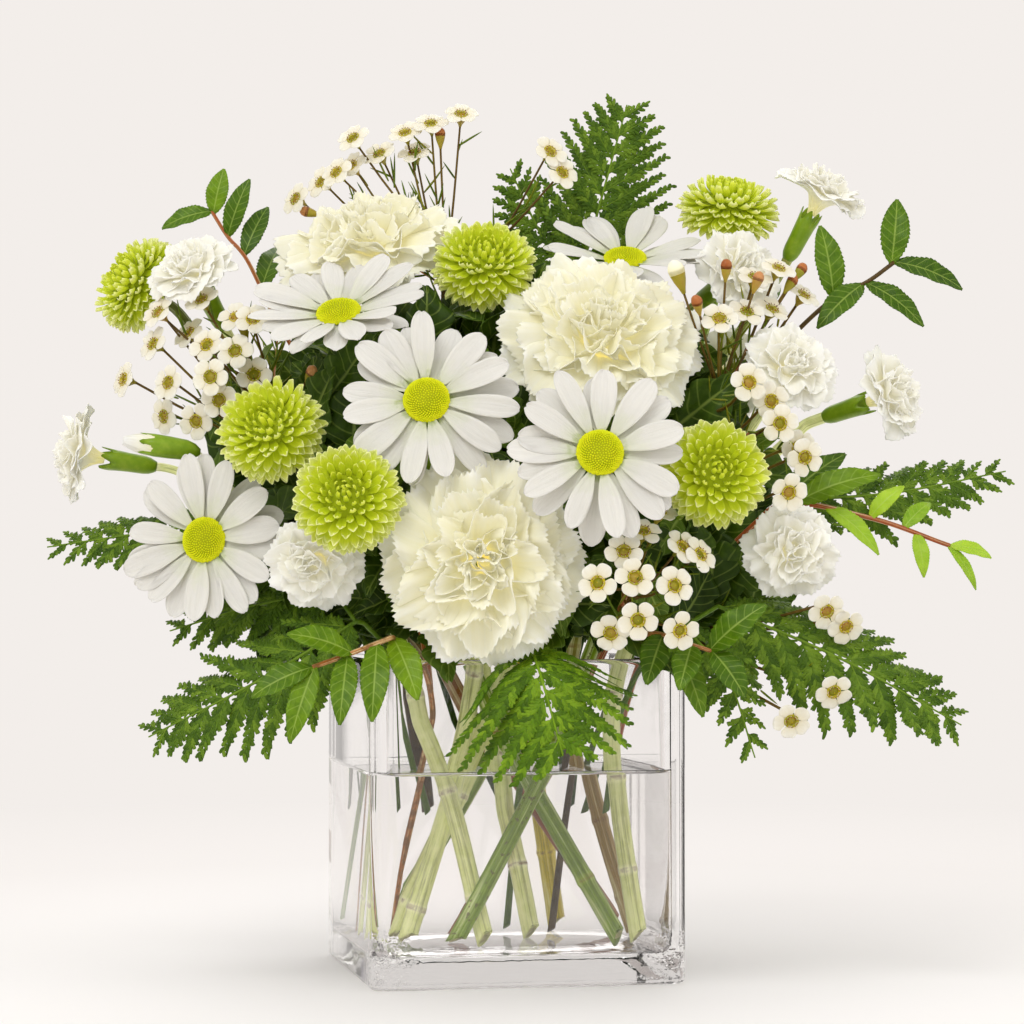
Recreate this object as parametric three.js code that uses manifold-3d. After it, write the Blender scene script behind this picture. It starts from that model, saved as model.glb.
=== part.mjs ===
// A round centrepiece of cut flowers in a square glass vase. Millimetres, +Z up, the front
// towards -Y, origin at the centre of the vase's flat underside.
//
// Cream carnations, white daisies, green button chrysanthemums, small white spray carnations,
// wax flower, fern and leafy sprigs stand in water. Each plant starts from a cut foot near the
// glass floor, passes the vase's mouth and forks to its heads. The stems are first drawn as
// smooth curves and then pushed apart, until no two of them touch.
import * as THREE from 'three';
import { mergeVertices } from 'three/addons/utils/BufferGeometryUtils.js';
import Module from 'manifold-3d';

const wasm = await Module();
wasm.setup();
const V = (x, y, z) => new THREE.Vector3(x, y, z);
const vec = (list) => V(...list);

// ---------------------------------------------------------------- driving dimensions

const VASE = { width: 127, height: 129, wall: 5, floor: 16, corner: 7, innerCorner: 9, bevel: 2.5 };
const WATER_LEVEL = 83;
const GAP = 0.35; // kept between pieces that rest on each other
const TURN = THREE.MathUtils.degToRad(-11.3); // the bouquet's front, turned from the vase's
const BLADE = 0.7; // thickness of petals and leaves
const SMOOTHING = 0.2; // facets flatter than this are joined after a fusion

// Of each kind of head: its width, the depth from its face to its neck, the widest and the
// narrowest radius of the green cup below, and the cup's length.
const DAISY = { across: 71, neck: 0.5, cup: [7, 2.4], back: 7, disc: 9, petals: 12 };
const CARNATION = { across: 84, neck: 27, cup: [8, 6.5], back: 22, core: 4 };
const SPRAY = { across: 41, neck: 15, cup: [4.8, 3.8], back: 20, core: 2.6 };
const MUM = { across: 39, neck: 14, cup: [6.5, 3], back: 4, columns: 9 };
const FLORET = { across: 14.5, cup: 6.5 };

const COLOUR = {
  glass: 0xdfe9e6, water: 0xe4efee, cream: 0xf3edcf, white: 0xf6f5f0, disc: 0xb5bd1c,
  lime: 0xa3c42f, stem: 0x8fa857, fern: 0x3f7d20, leaf: 0x3c7423, wax: 0xf2ead8,
};

// ---------------------------------------------------------------- the bouquet's plan
// Places are in the bouquet's own frame: x to the right, y away from the front, z up.

// A head is where a flower's face is, the way it faces, and the size of its kind.
const HEADS = {
  carnation_top: { kind: CARNATION, at: [-55, -2, 306], faces: [-0.12, -0.45, 0.88] },
  carnation_right: { kind: CARNATION, at: [41, -60, 261], faces: [0.12, -0.8, 0.58] },
  carnation_front: { kind: CARNATION, at: [-7, -104, 168], faces: [0, -0.98, 0.05] },
  daisy_top_left: { kind: DAISY, at: [-64, -54, 266], faces: [-0.12, -0.6, 0.79] },
  daisy_centre: { kind: DAISY, at: [-28, -94, 229], faces: [-0.06, -0.96, 0.26] },
  daisy_left: { kind: DAISY, at: [-116, -64, 176], faces: [-0.3, -0.94, 0.1] },
  daisy_right: { kind: DAISY, at: [38, -112, 208], faces: [0.06, -0.96, 0.26] },
  daisy_top_right: { kind: DAISY, at: [52, 6, 294], faces: [0, -0.5, 0.87] },
  daisy_back: { kind: DAISY, at: [-38, 84, 250], faces: [-0.2, 0.88, 0.42] },
  mum_far_left: { kind: MUM, at: [-157, 12, 288], faces: [-0.75, -0.4, 0.5] },
  mum_top: { kind: MUM, at: [-6, -34, 293], faces: [0.05, -0.7, 0.71] },
  mum_left: { kind: MUM, at: [-91, -84, 222], faces: [-0.3, -0.8, 0.5] },
  mum_front: { kind: MUM, at: [-58, -114, 193], faces: [-0.05, -0.95, 0.3] },
  mum_top_right: { kind: MUM, at: [97, 19, 323], faces: [0.12, -0.3, 0.95] },
  mum_right: { kind: MUM, at: [84, -94, 203], faces: [0.15, -0.96, 0.22] },
  carnation_back: { kind: CARNATION, at: [8, 78, 268], faces: [0.05, 0.8, 0.6] },
  mum_back_left: { kind: MUM, at: [-98, 72, 226], faces: [-0.55, 0.7, 0.45] },
  spray_back_right: { kind: SPRAY, at: [104, 62, 252], faces: [0.6, 0.72, 0.35] },
  spray_far_right: { kind: SPRAY, at: [164, -8, 238], faces: [0.8, -0.54, 0.26] },
  spray_upper_left: { kind: SPRAY, at: [-128, -15, 291], faces: [-0.35, -0.6, 0.7] },
  spray_far_left: { kind: SPRAY, at: [-178, -5, 213], faces: [-0.96, -0.2, 0.15] },
  spray_low_left: { kind: SPRAY, at: [-72, -86, 166], faces: [-0.2, -0.93, -0.25] },
  spray_upper_right: { kind: SPRAY, at: [117, -50, 247], faces: [0.25, -0.85, 0.45] },
  mum_back: { kind: MUM, at: [62, 88, 236], faces: [0.35, 0.85, 0.4] },
  spray_low_right: { kind: SPRAY, at: [115, -74, 171], faces: [0.25, -0.93, -0.1] },
  spray_top_right: { kind: SPRAY, at: [138, 22, 328], faces: [0.45, -0.2, 0.87] },
  spray_top: { kind: SPRAY, at: [101, -4, 290], faces: [0.5, -0.8, 0.35] },
  spray_back: { kind: SPRAY, at: [8, 96, 206], faces: [0.05, 0.97, 0.2] },
};

// A flowering plant is one cut stem: its foot on the glass floor, its place in the vase's
// mouth, its radius, its heads, and the heights at which all but the first head fork off.
const PLANTS = {
  carnation_top_stem: { foot: [10, -14], mouth: [-8, 2], radius: 2.6, heads: ['carnation_top'] },
  carnation_right_stem: { foot: [-45, -28], mouth: [6, -12], radius: 2.8, heads: ['carnation_right'] },
  carnation_front_stem: { foot: [-38, -40], mouth: [-6, -36], radius: 2.7, heads: ['carnation_front'] },
  daisy_left_stem: { foot: [46, -40], mouth: [-16, -26], radius: 2.5, forks: [150, 165],
    heads: ['daisy_top_left', 'daisy_centre', 'daisy_left'] },
  daisy_right_stem: { foot: [-50, 28], mouth: [14, 8], radius: 2.4, forks: [150, 165],
    heads: ['daisy_top_right', 'daisy_right', 'daisy_back'] },
  carnation_back_stem: { foot: [18, 40], mouth: [4, 34], radius: 2.6, heads: ['carnation_back'] },
  mum_left_stem: { foot: [42, 36], mouth: [-30, 2], radius: 2.3, forks: [140, 160, 175],
    heads: ['mum_far_left', 'mum_left', 'mum_front', 'mum_back_left'] },
  mum_right_stem: { foot: [-18, -50], mouth: [38, -18], radius: 2.4, forks: [145, 165, 180],
    heads: ['mum_top_right', 'mum_right', 'mum_back', 'mum_top'] },
  spray_left_stem: { foot: [-7, -45], mouth: [-36, -34], radius: 2.5, forks: [142, 160],
    heads: ['spray_upper_left', 'spray_low_left', 'spray_far_left'],
    bud: { on: 2, base: [-122, -38, 212], tip: [-150, -42, 216] } },
  spray_right_stem: { foot: [54, -34], mouth: [44, -30], radius: 2.6, forks: [145, 165],
    heads: ['spray_far_right', 'spray_low_right', 'spray_upper_right'] },
  spray_back_stem: { foot: [50, 14], mouth: [24, 24], radius: 2.2, forks: [150, 180, 190],
    heads: ['spray_top_right', 'spray_back', 'spray_back_right', 'spray_top'] },
};

// Foliage and wax flower: a foot, which may be cut short at a height of its own, the place in
// the mouth, the stem's radius and its route above the mouth. A second branch forks off the
// first at a height.

// A wax flower's florets, each the middle of a floret's face. Twigs run from the branch.
const WAX = {
  wax_left: [
    { foot: [-34, 30, 66], mouth: [-38, -8], radius: 1.4, route: [[-70, -18, 190], [-98, -22, 240]],
      florets: [[-140, -20, 270], [-122, -22, 275], [-107, -32, 267], [-118, -40, 255],
        [-115, -55, 241], [-155, -12, 243], [-134, -35, 240]] },
    { fork: 145, radius: 1.2, route: [[-26, 36, 230], [-24, 38, 304]],
      florets: [[-63, 30, 349], [-70, 28, 334], [-52, 35, 343], [-30, 35, 356], [-17, 35, 360],
        [-88, 38, 324], [21, 15, 341]] }],
  wax_right: [
    { foot: [-20, -18], mouth: [42, -4], radius: 1.5, route: [[70, -20, 190], [88, -38, 236]],
      florets: [[87, -58, 264], [97, -80, 237], [109, -80, 221], [119, -76, 208], [112, -84, 194],
        [124, -22, 277], [103, -34, 283]] },
    { fork: 135, radius: 1.2, route: [[46, -84, 150], [50, -98, 157]],
      florets: [[37, -118, 159], [51, -120, 161], [66, -117, 158], [52, -120, 145], [68, -116, 141],
        [70, -100, 173]] }],
};

// A fern's blades, each as the line of its rib from base to tip, half its width, its pairs of
// leaflets and the way its upper face looks.
const FERNS = {
  fern_top: { foot: [-1, 12], mouth: [8, 36], radius: 1.3, route: [[22, 34, 230]], blades: [
    { rib: [[32, 36, 284], [42, 38, 320], [54, 36, 364]], half: 27, pairs: 7, looks: [0.1, -0.9, 0.4] },
    { rib: [[26, 40, 292], [14, 46, 316], [4, 46, 338]], half: 15, pairs: 5, looks: [0, -0.9, 0.4] }] },
  fern_right: { foot: [30, 30, 64], mouth: [50, 6], radius: 1.3,
    route: [[84, -16, 172]], blades: [
    { rib: [[117, -24, 193], [160, -18, 196], [207, -16, 205]], half: 18, pairs: 7,
      looks: [0, -0.78, 0.62] }] },
  fern_low_right: { foot: [40, -4, 66], mouth: [46, -36], radius: 1.3,
    route: [[62, -52, 146]], blades: [
    { rib: [[86, -62, 150], [132, -74, 130], [179, -80, 104]], half: 25, pairs: 7,
      looks: [0.2, -0.82, 0.54] },
    { rib: [[72, -72, 142], [88, -86, 122], [98, -92, 92]], half: 13, pairs: 4,
      looks: [0.3, -0.9, 0.3] }] },
  fern_front: { foot: [4, -4, 68], mouth: [12, -48], radius: 1.3,
    route: [[12, -69, 138]], blades: [
    { rib: [[12, -79, 134], [16, -108, 123], [24, -115, 94]], half: 35, pairs: 5,
      looks: [0, -0.9, 0.45] }] },
  fern_low_left: { foot: [-32, -4, 66], mouth: [-46, -42], radius: 1.3,
    route: [[-50, -66, 142]], blades: [
    { rib: [[-56, -76, 144], [-92, -80, 122], [-137, -72, 99]], half: 25, pairs: 7,
      looks: [-0.2, -0.82, 0.54] },
    { rib: [[-66, -52, 156], [-98, -48, 150], [-132, -44, 140]], half: 17, pairs: 5,
      looks: [-0.2, -0.7, 0.68] }] },
  fern_left: { foot: [-46, 10, 66], mouth: [-50, -4], radius: 1.3,
    route: [[-76, -20, 172]], blades: [
    { rib: [[-97, -28, 186], [-143, -20, 180], [-186, -12, 174]], half: 17, pairs: 7,
      looks: [-0.1, -0.75, 0.65] }] },
  fern_back_left: { foot: [-4, 46, 66], mouth: [-34, 38], radius: 1.3,
    route: [[-50, 60, 170]], blades: [
    { rib: [[-64, 76, 190], [-92, 104, 200], [-112, 128, 186]], half: 24, pairs: 7,
      looks: [-0.3, 0.2, 0.93] }] },
  fern_back_right: { foot: [24, 42, 66], mouth: [30, 42], radius: 1.3,
    route: [[44, 66, 166]], blades: [
    { rib: [[54, 84, 176], [74, 116, 176], [86, 142, 156]], half: 24, pairs: 7,
      looks: [0.2, 0.3, 0.93] }] },
};

// A leafy sprig's leaves, each as its base, its tip and its width.
const SPRIGS = {
  sprig_top_right: [
    { foot: [18, -8], mouth: [34, 10], radius: 1.4,
      route: [[70, 4, 200], [110, -6, 250], [138, -4, 277], [152, -4, 284], [163, -5, 292]],
      leaves: [[[138, -4, 277], [133, 0, 308], 13], [[162, -5, 291], [165, 0, 319], 13],
        [[163, -5, 292], [191, -8, 281], 12], [[151, -4, 284], [174, -14, 265], 11],
        [[150, -5, 283], [130, -16, 264], 12]] }],
  sprig_left: [
    { foot: [-48, -20], mouth: [-24, -42], radius: 1.4,
      route: [[-32, -76, 141], [-44, -94, 137], [-57, -101, 132], [-71, -104, 127]],
      leaves: [[[-38, -88, 139], [-31, -104, 115], 13], [[-47, -96, 136], [-48, -112, 107], 12],
        [[-58, -101, 132], [-60, -116, 106], 11], [[-70, -104, 127], [-79, -112, 99], 11],
        [[-71, -104, 127], [-94, -108, 116], 12], [[-56, -101, 132], [-80, -110, 140], 13]] },
    { fork: 122, radius: 1.2,
      route: [[-60, 16, 210], [-94, 8, 270], [-107, 6, 296], [-114, 8, 304], [-121, 10, 315]],
      leaves: [[[-120, 10, 314], [-116, 10, 333], 10], [[-114, 8, 304], [-105, 5, 328], 10],
        [[-121, 10, 315], [-142, 10, 308], 10], [[-107, 6, 296], [-98, 16, 318], 10],
        [[-100, 8, 282], [-94, 33, 303], 11]] }],
  sprig_right: [
    { foot: [44, 6, 66], mouth: [52, -14], radius: 1.4,
      route: [[84, -34, 168], [112, -42, 190], [147, -52, 185], [179, -50, 174]],
      leaves: [[[118, -43, 190], [152, -46, 203], 14], [[112, -42, 189], [140, -30, 212], 13],
        [[130, -47, 188], [150, -60, 172], 9], [[147, -52, 185], [160, -54, 198], 8],
        [[160, -52, 180], [172, -46, 192], 8], [[165, -51, 178], [168, -58, 162], 7],
        [[179, -50, 174], [196, -50, 170], 7], [[178, -50, 174], [190, -52, 157], 5]] },
    { fork: 128, radius: 1.2, route: [[54, -72, 144], [66, -92, 138], [81, -100, 133]],
      leaves: [[[80, -100, 133], [101, -106, 151], 14], [[81, -100, 133], [93, -108, 116], 13],
        [[74, -96, 136], [68, -112, 119], 12], [[60, -85, 140], [56, -104, 121], 13],
        [[66, -92, 138], [78, -98, 108], 12]] }],
};

// ---------------------------------------------------------------- solids

// A closed solid from three.js geometry, by its merged positions.
function solidOf(geometry) {
  const bare = new THREE.BufferGeometry().setAttribute('position', geometry.getAttribute('position'));
  bare.setIndex(geometry.index);
  const merged = mergeVertices(bare, 1e-4);
  return new wasm.Manifold(new wasm.Mesh({
    numProp: 3,
    vertProperties: merged.attributes.position.array,
    triVerts: new Uint32Array(merged.index.array),
  }));
}

function geometryFrom(points, faces) {
  const geometry = new THREE.BufferGeometry().setFromPoints(points);
  geometry.setIndex(faces.flat());
  return geometry;
}

// The union of solids, as the one body of it that is largest.
function fuse(solids) {
  const bodies = wasm.Manifold.union(solids).decompose();
  const body = bodies.reduce((best, one) => (one.volume() > best.volume() ? one : best));
  return body.simplify(SMOOTHING);
}

function meshOf(name, solid, colour, roughness = 0.6) {
  const { vertProperties, triVerts } = solid.getMesh();
  const geometry = new THREE.BufferGeometry();
  geometry.setAttribute('position', new THREE.BufferAttribute(vertProperties, 3));
  geometry.setIndex(new THREE.BufferAttribute(triVerts, 1));
  const faceted = geometry.toNonIndexed();
  faceted.computeVertexNormals();
  const material = new THREE.MeshStandardMaterial({ color: colour, roughness, metalness: 0 });
  const mesh = new THREE.Mesh(faceted, material);
  mesh.name = name;
  return mesh;
}

// Splits a mirrored outline of so many points into triangles across, from its root to its tip.
function acrossSplit(count) {
  const split = [];
  for (let i = 0, j = count - 1; i + 1 < j; i++, j--) {
    split.push([i, i + 1, j]);
    if (i + 1 < j - 1) split.push([i + 1, j - 1, j]);
  }
  return split;
}

// A blade: a flat outline of [along, across] points, bent in space by place(), given thickness,
// across its own face or straight up. Both faces are split into the same triangles.
function blade(outline, place, { thick = BLADE, mirrored = false, upright = false } = {}) {
  const contour = outline.map(([a, c]) => new THREE.Vector2(a, c));
  if (THREE.ShapeUtils.isClockWise(contour)) contour.reverse();
  const count = contour.length;
  const split = mirrored ? acrossSplit(count) : THREE.ShapeUtils.triangulateShape(contour, []);
  const step = 0.01;
  const faces = [];
  const sides = [1, -1].map((side) => contour.map(({ x, y }) => {
    const here = place(x, y);
    const along = place(x + step, y).sub(here);
    const across = place(x, y + step).sub(here);
    const out = upright ? V(0, 0, 1) : along.cross(across).normalize();
    return here.addScaledVector(out, (side * thick) / 2);
  }));
  for (const [a, b, c] of split) faces.push([a, b, c], [count + c, count + b, count + a]);
  for (let i = 0; i < count; i++) {
    const next = (i + 1) % count;
    faces.push([i, count + i, next], [next, count + i, count + next]);
  }
  return geometryFrom(sides.flat(), faces);
}

// A round rod of the given sides through points, with a radius at each of them.
function rod(points, radii, sides) {
  const last = points.length - 1;
  const rings = [];
  let across = null;
  points.forEach((point, i) => {
    const along = points[Math.min(i + 1, last)].clone().sub(points[Math.max(i - 1, 0)]).normalize();
    if (!across) across = V(1, 0, 0).addScaledVector(along, -along.x).normalize();
    across = across.clone().addScaledVector(along, -along.dot(across)).normalize();
    const other = along.clone().cross(across);
    for (let k = 0; k < sides; k++) {
      const angle = (2 * Math.PI * k) / sides;
      rings.push(point.clone().addScaledVector(across, radii[i] * Math.cos(angle))
        .addScaledVector(other, radii[i] * Math.sin(angle)));
    }
  });
  const faces = [];
  for (let i = 0; i < last; i++) {
    for (let k = 0; k < sides; k++) {
      const a = i * sides + k;
      const b = i * sides + ((k + 1) % sides);
      faces.push([a, b, a + sides], [b, b + sides, a + sides]);
    }
  }
  for (let k = 1; k < sides - 1; k++) {
    faces.push([0, k + 1, k], [last * sides, last * sides + k, last * sides + k + 1]);
  }
  return geometryFrom(rings, faces);
}

// Turns a solid drawn around +Z so that +Z looks along faces, and puts it at a place.
function placed(solid, at, faces, spin = 0) {
  const turn = new THREE.Quaternion().setFromUnitVectors(V(0, 0, 1), vec(faces).normalize());
  turn.multiply(new THREE.Quaternion().setFromAxisAngle(V(0, 0, 1), spin));
  return solid.transform(new THREE.Matrix4().compose(vec(at), turn, V(1, 1, 1)).elements);
}

// A seeded draw from 0 to 1.
function drawer(seed) {
  let state = seed;
  return () => {
    state = (state * 1103515245 + 12345) % 2147483648;
    return state / 2147483648;
  };
}

// ---------------------------------------------------------------- stems that keep clear

const SPACING = 5; // between the points of a strand
const CLEAR = 2.2; // kept between the skins of two strands, point to point
const ROUNDS = 140;
const MOUTH = VASE.height + 7; // up to here a strand stays inside the vase's walls

// A smooth line through points, cut into steps of about SPACING.
function smooth(points, spacing = SPACING) {
  const curve = new THREE.CatmullRomCurve3(points, false, 'centripetal');
  return curve.getSpacedPoints(Math.max(2, Math.round(curve.getLength() / spacing)));
}

const strands = [];

// A strand is a stem or a branch as a line of points. Its held points don't move.
function strand(owner, points, radius, held, extra = {}) {
  const made = { owner, points, radius, held, ...extra };
  strands.push(made);
  return made;
}

const footPoint = ([x, y, z = VASE.floor + 2.4]) => V(x, y, z);
const mouthPoint = ([x, y]) => V(x, y, VASE.height);

// Where a head meets its stem, and a point further back along its axis.
function neckOf(head, distance = 0) {
  return vec(head.at).addScaledVector(vec(head.faces).normalize(), -head.kind.neck - distance);
}

// Where a branch leaves its main stem: the two first points of the branch.
function forkOf(main, height) {
  const at = main.points.findIndex((p) => p.z > height);
  const ahead = main.points[at].clone().lerp(main.points[at + 2], 0.8);
  return { join: { main, at }, start: [main.points[at], ahead] };
}

const fromFloor = (foot, mouth) => ({ start: [footPoint(foot), mouthPoint(mouth)] });

function plantStrands(name, { foot, mouth, radius, forks, heads }) {
  const made = [];
  heads.forEach((headName, i) => {
    const head = HEADS[headName];
    const run = head.kind.back + 8;
    const ends = [neckOf(head, run), neckOf(head, head.kind.back), neckOf(head)];
    const { join, start } = i ? forkOf(made[0], forks[i - 1]) : fromFloor(foot, mouth);
    const points = smooth([...start, ...ends]);
    const loose = points.length - 1 - Math.ceil(run / SPACING);
    const held = points.map((p, k) => k === 0 || k >= loose);
    made.push(strand(name, points, i ? radius * 0.75 : radius, held, { join, head: headName }));
  });
  return made;
}

// Foliage strands run through fixed places above the mouth, so only the part below moves.
function leafyStrands(name, branches) {
  const made = [];
  for (const { foot, mouth, fork, route, radius, blades } of branches) {
    const fixed = [...route, ...(blades ? [blades[0].rib[0]] : [])].map(vec);
    const { join, start } = fork ? forkOf(made[0], fork) : fromFloor(foot, mouth);
    const points = smooth([...start, ...fixed]);
    const near = (p) => p.distanceTo(fixed[Math.min(1, fixed.length - 1)]) < SPACING;
    const from = points.findIndex(near);
    const held = points.map((p, k) => k === 0 || k >= (from < 0 ? points.length - 1 : from));
    made.push(strand(name, points, radius, held, { join }));
  }
  return made;
}

const runsOf = (table, draw) => new Map(
  Object.entries(table).map(([name, one]) => [name, draw(name, one)]));
const plantRuns = runsOf(PLANTS, plantStrands);
const waxRuns = runsOf(WAX, leafyStrands);
const fernRuns = runsOf(FERNS, (name, one) => leafyStrands(name, [one]));
const sprigRuns = runsOf(SPRIGS, leafyStrands);

// Pushes a point out of a head that isn't the strand's own.
function pushFromHeads(run, point, radius, push) {
  for (const [name, head] of Object.entries(HEADS)) {
    if (name === run.head) continue;
    const axis = vec(head.faces).normalize();
    const flat = head.kind === DAISY;
    const depth = (flat ? 4.5 : head.kind.neck * 0.6) + radius + 1.5;
    const wide = head.kind.across / 2 + radius + 1;
    const middle = vec(head.at).addScaledVector(axis, flat ? 0 : -head.kind.neck * 0.45);
    const away = point.clone().sub(middle);
    const up = away.dot(axis);
    const out = away.clone().addScaledVector(axis, -up);
    const inside = Math.hypot(up / depth, out.length() / wide);
    if (inside >= 1) continue;
    if (flat) push.addScaledVector(axis, Math.sign(up || -1) * (depth - Math.abs(up)) * 0.5);
    else push.addScaledVector(away.normalize(), (1 - inside) * depth * 0.5);
  }
}

// Keeps the part of a strand below the mouth inside the glass.
function keepInVase(point, radius) {
  const room = VASE.width / 2 - VASE.wall - radius - 1;
  const local = point.clone().applyAxisAngle(V(0, 0, 1), TURN);
  local.x = THREE.MathUtils.clamp(local.x, -room, room);
  local.y = THREE.MathUtils.clamp(local.y, -room, room);
  point.copy(local.applyAxisAngle(V(0, 0, 1), -TURN));
}

function pushApart() {
  const beads = strands.flatMap((run) => run.points.map((point, i) => ({ run, i, point })));
  for (let round = 0; round < ROUNDS; round++) {
    const pushes = beads.map(() => V(0, 0, 0));
    for (let a = 0; a < beads.length; a++) {
      const one = beads[a];
      for (let b = a + 1; b < beads.length; b++) {
        const two = beads[b];
        if (one.run.owner === two.run.owner) continue;
        const need = one.run.radius + two.run.radius + CLEAR;
        const away = one.point.clone().sub(two.point);
        const far = away.length();
        if (far >= need) continue;
        away.multiplyScalar((0.35 * (need - far)) / Math.max(far, 1e-6));
        pushes[a].add(away);
        pushes[b].sub(away);
      }
    }
    beads.forEach(({ run, i, point }, k) => {
      if (run.held[i]) return;
      pushFromHeads(run, point, run.radius, pushes[k]);
      const middle = run.points[i - 1].clone().add(run.points[i + 1]).multiplyScalar(0.5);
      pushes[k].addScaledVector(middle.sub(point), 0.4);
    });
    beads.forEach(({ run, i, point }, k) => {
      if (run.held[i]) return;
      point.add(pushes[k].clampLength(0, 1.5));
      if (point.z < MOUTH) keepInVase(point, run.radius);
    });
    for (const run of strands) if (run.join) run.points[0].copy(run.join.main.points[run.join.at]);
  }
}

pushApart();

// The fewest points of a line that keep it within a tolerance of where it runs.
function fewer(points, tolerance = 1) {
  const last = points.length - 1;
  const chord = new THREE.Line3(points[0], points[last]);
  const off = (p) => chord.closestPointToPoint(p, true, V(0, 0, 0)).distanceTo(p);
  const far = points.reduce((best, p, i) => (off(p) > off(points[best]) ? i : best), 0);
  if (last < 2 || off(points[far]) < tolerance) return [points[0], points[last]];
  const before = fewer(points.slice(0, far + 1), tolerance);
  return [...before.slice(0, -1), ...fewer(points.slice(far), tolerance)];
}

// The line that a strand's solid follows, up to where its head's cup begins.
function axisOf(run) {
  if (!run.head) return fewer(run.points);
  const head = HEADS[run.head];
  const neck = neckOf(head);
  const end = neckOf(head, head.kind.back);
  const below = run.points.filter((p) => p.distanceTo(neck) > head.kind.back + 2 * run.radius);
  return fewer([...below, end]);
}

// The place on a stem's middle line that is nearest to a point.
function rootOn(run, point) {
  const line = axisOf(run);
  const places = line.slice(1).map((p, i) =>
    new THREE.Line3(line[i], p).closestPointToPoint(point, true, V(0, 0, 0)));
  return places.reduce((best, p) => (p.distanceTo(point) < best.distanceTo(point) ? p : best));
}

// Thin stems have fewer sides.
const sidesOf = (run) => (run.radius < 1.6 ? 3 : 5);

// A stem's solid, which may go on through further points with radii of their own.
function stemRod(run, on = [], onRadii = []) {
  const line = axisOf(run);
  return solidOf(rod([...line, ...on], [...line.map(() => run.radius), ...onRadii], sidesOf(run)));
}

// The hole that a stem needs, run down past its foot.
function stemHole(run) {
  const line = axisOf(run).map((p) => p.clone());
  line[0].addScaledVector(line[0].clone().sub(line[1]).normalize(), 5);
  return solidOf(rod(line, line.map(() => run.radius + 1.3 * GAP), sidesOf(run)));
}

// ---------------------------------------------------------------- the holder

function roundedSquare(side, corner) {
  const h = side / 2;
  const shape = new THREE.Shape();
  shape.absarc(h - corner, h - corner, corner, 0, Math.PI / 2);
  shape.absarc(corner - h, h - corner, corner, Math.PI / 2, Math.PI);
  shape.absarc(corner - h, corner - h, corner, Math.PI, 1.5 * Math.PI);
  shape.absarc(h - corner, corner - h, corner, 1.5 * Math.PI, 2 * Math.PI);
  return shape;
}

function glassVase() {
  const { width, height, wall, floor, corner, innerCorner, bevel } = VASE;
  const body = new THREE.ExtrudeGeometry(roundedSquare(width - 2 * bevel, corner - bevel), {
    depth: height - 2 * bevel, bevelThickness: bevel, bevelSize: bevel, bevelSegments: 1, curveSegments: 2,
  });
  const hollow = new THREE.ExtrudeGeometry(roundedSquare(width - 2 * wall, innerCorner), {
    depth: height, bevelEnabled: false, curveSegments: 3,
  });
  return solidOf(body).translate([0, 0, bevel]).subtract(solidOf(hollow).translate([0, 0, floor]));
}

// The water, with a plain hole for each stem.
function water() {
  const { width, wall, floor, innerCorner } = VASE;
  const body = new THREE.ExtrudeGeometry(roundedSquare(width - 2 * wall - 2 * GAP, innerCorner - GAP), {
    depth: WATER_LEVEL - floor - GAP, bevelEnabled: false, curveSegments: 3,
  });
  const holes = strands.filter((run) => !run.join).map(stemHole);
  const turned = wasm.Manifold.union(holes).rotate([0, 0, THREE.MathUtils.radToDeg(TURN)]);
  return fuse([solidOf(body).translate([0, 0, floor + GAP]).subtract(turned)]);
}

// ---------------------------------------------------------------- flowers

const polar = (r, angle, z) => V(r * Math.cos(angle), r * Math.sin(angle), z);

// White petals, cut from one blade, every other one raised.
function daisyPetals(seed) {
  const draw = drawer(seed);
  const { across, disc, petals } = DAISY;
  const pitch = (2 * Math.PI) / petals;
  const outline = [];
  for (let i = 0; i < petals; i++) {
    const long = (across / 2) * (0.92 + 0.08 * draw());
    const sides = [[0.68, -0.172], [0.99, -0.11], [0.99, 0.11], [0.68, 0.172]];
    outline.push([disc + 1.5, pitch * (i - 0.5)]);
    for (const [along, side] of sides) {
      outline.push([long * Math.hypot(along, side), pitch * i + Math.atan2(side, along)]);
    }
  }
  const flat = outline.map(([r, angle]) => polar(r, angle, 0)).map(({ x, y }) => [x, y]);
  const place = (x, y) => {
    const along = Math.max(0, Math.hypot(x, y) - disc - 1.5);
    const raised = 1 + Math.cos((petals / 2) * Math.atan2(y, x));
    return V(x, y, along * (0.05 + 0.09 * raised) - 0.0035 * along * along);
  };
  return solidOf(blade(flat, place, { upright: true }));
}

// The yellow disc, a low dome that sits on the petals.
function daisyDisc() {
  const { disc } = DAISY;
  const profile = [[0, 0], [disc, 0], [disc * 0.8, 3.2], [0, 4.4]];
  const dome = new THREE.LatheGeometry(profile.map(([r, z]) => new THREE.Vector2(r, z)), 8);
  return solidOf(dome.rotateX(Math.PI / 2)).translate([0, 0, BLADE / 2 + GAP]);
}

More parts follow.
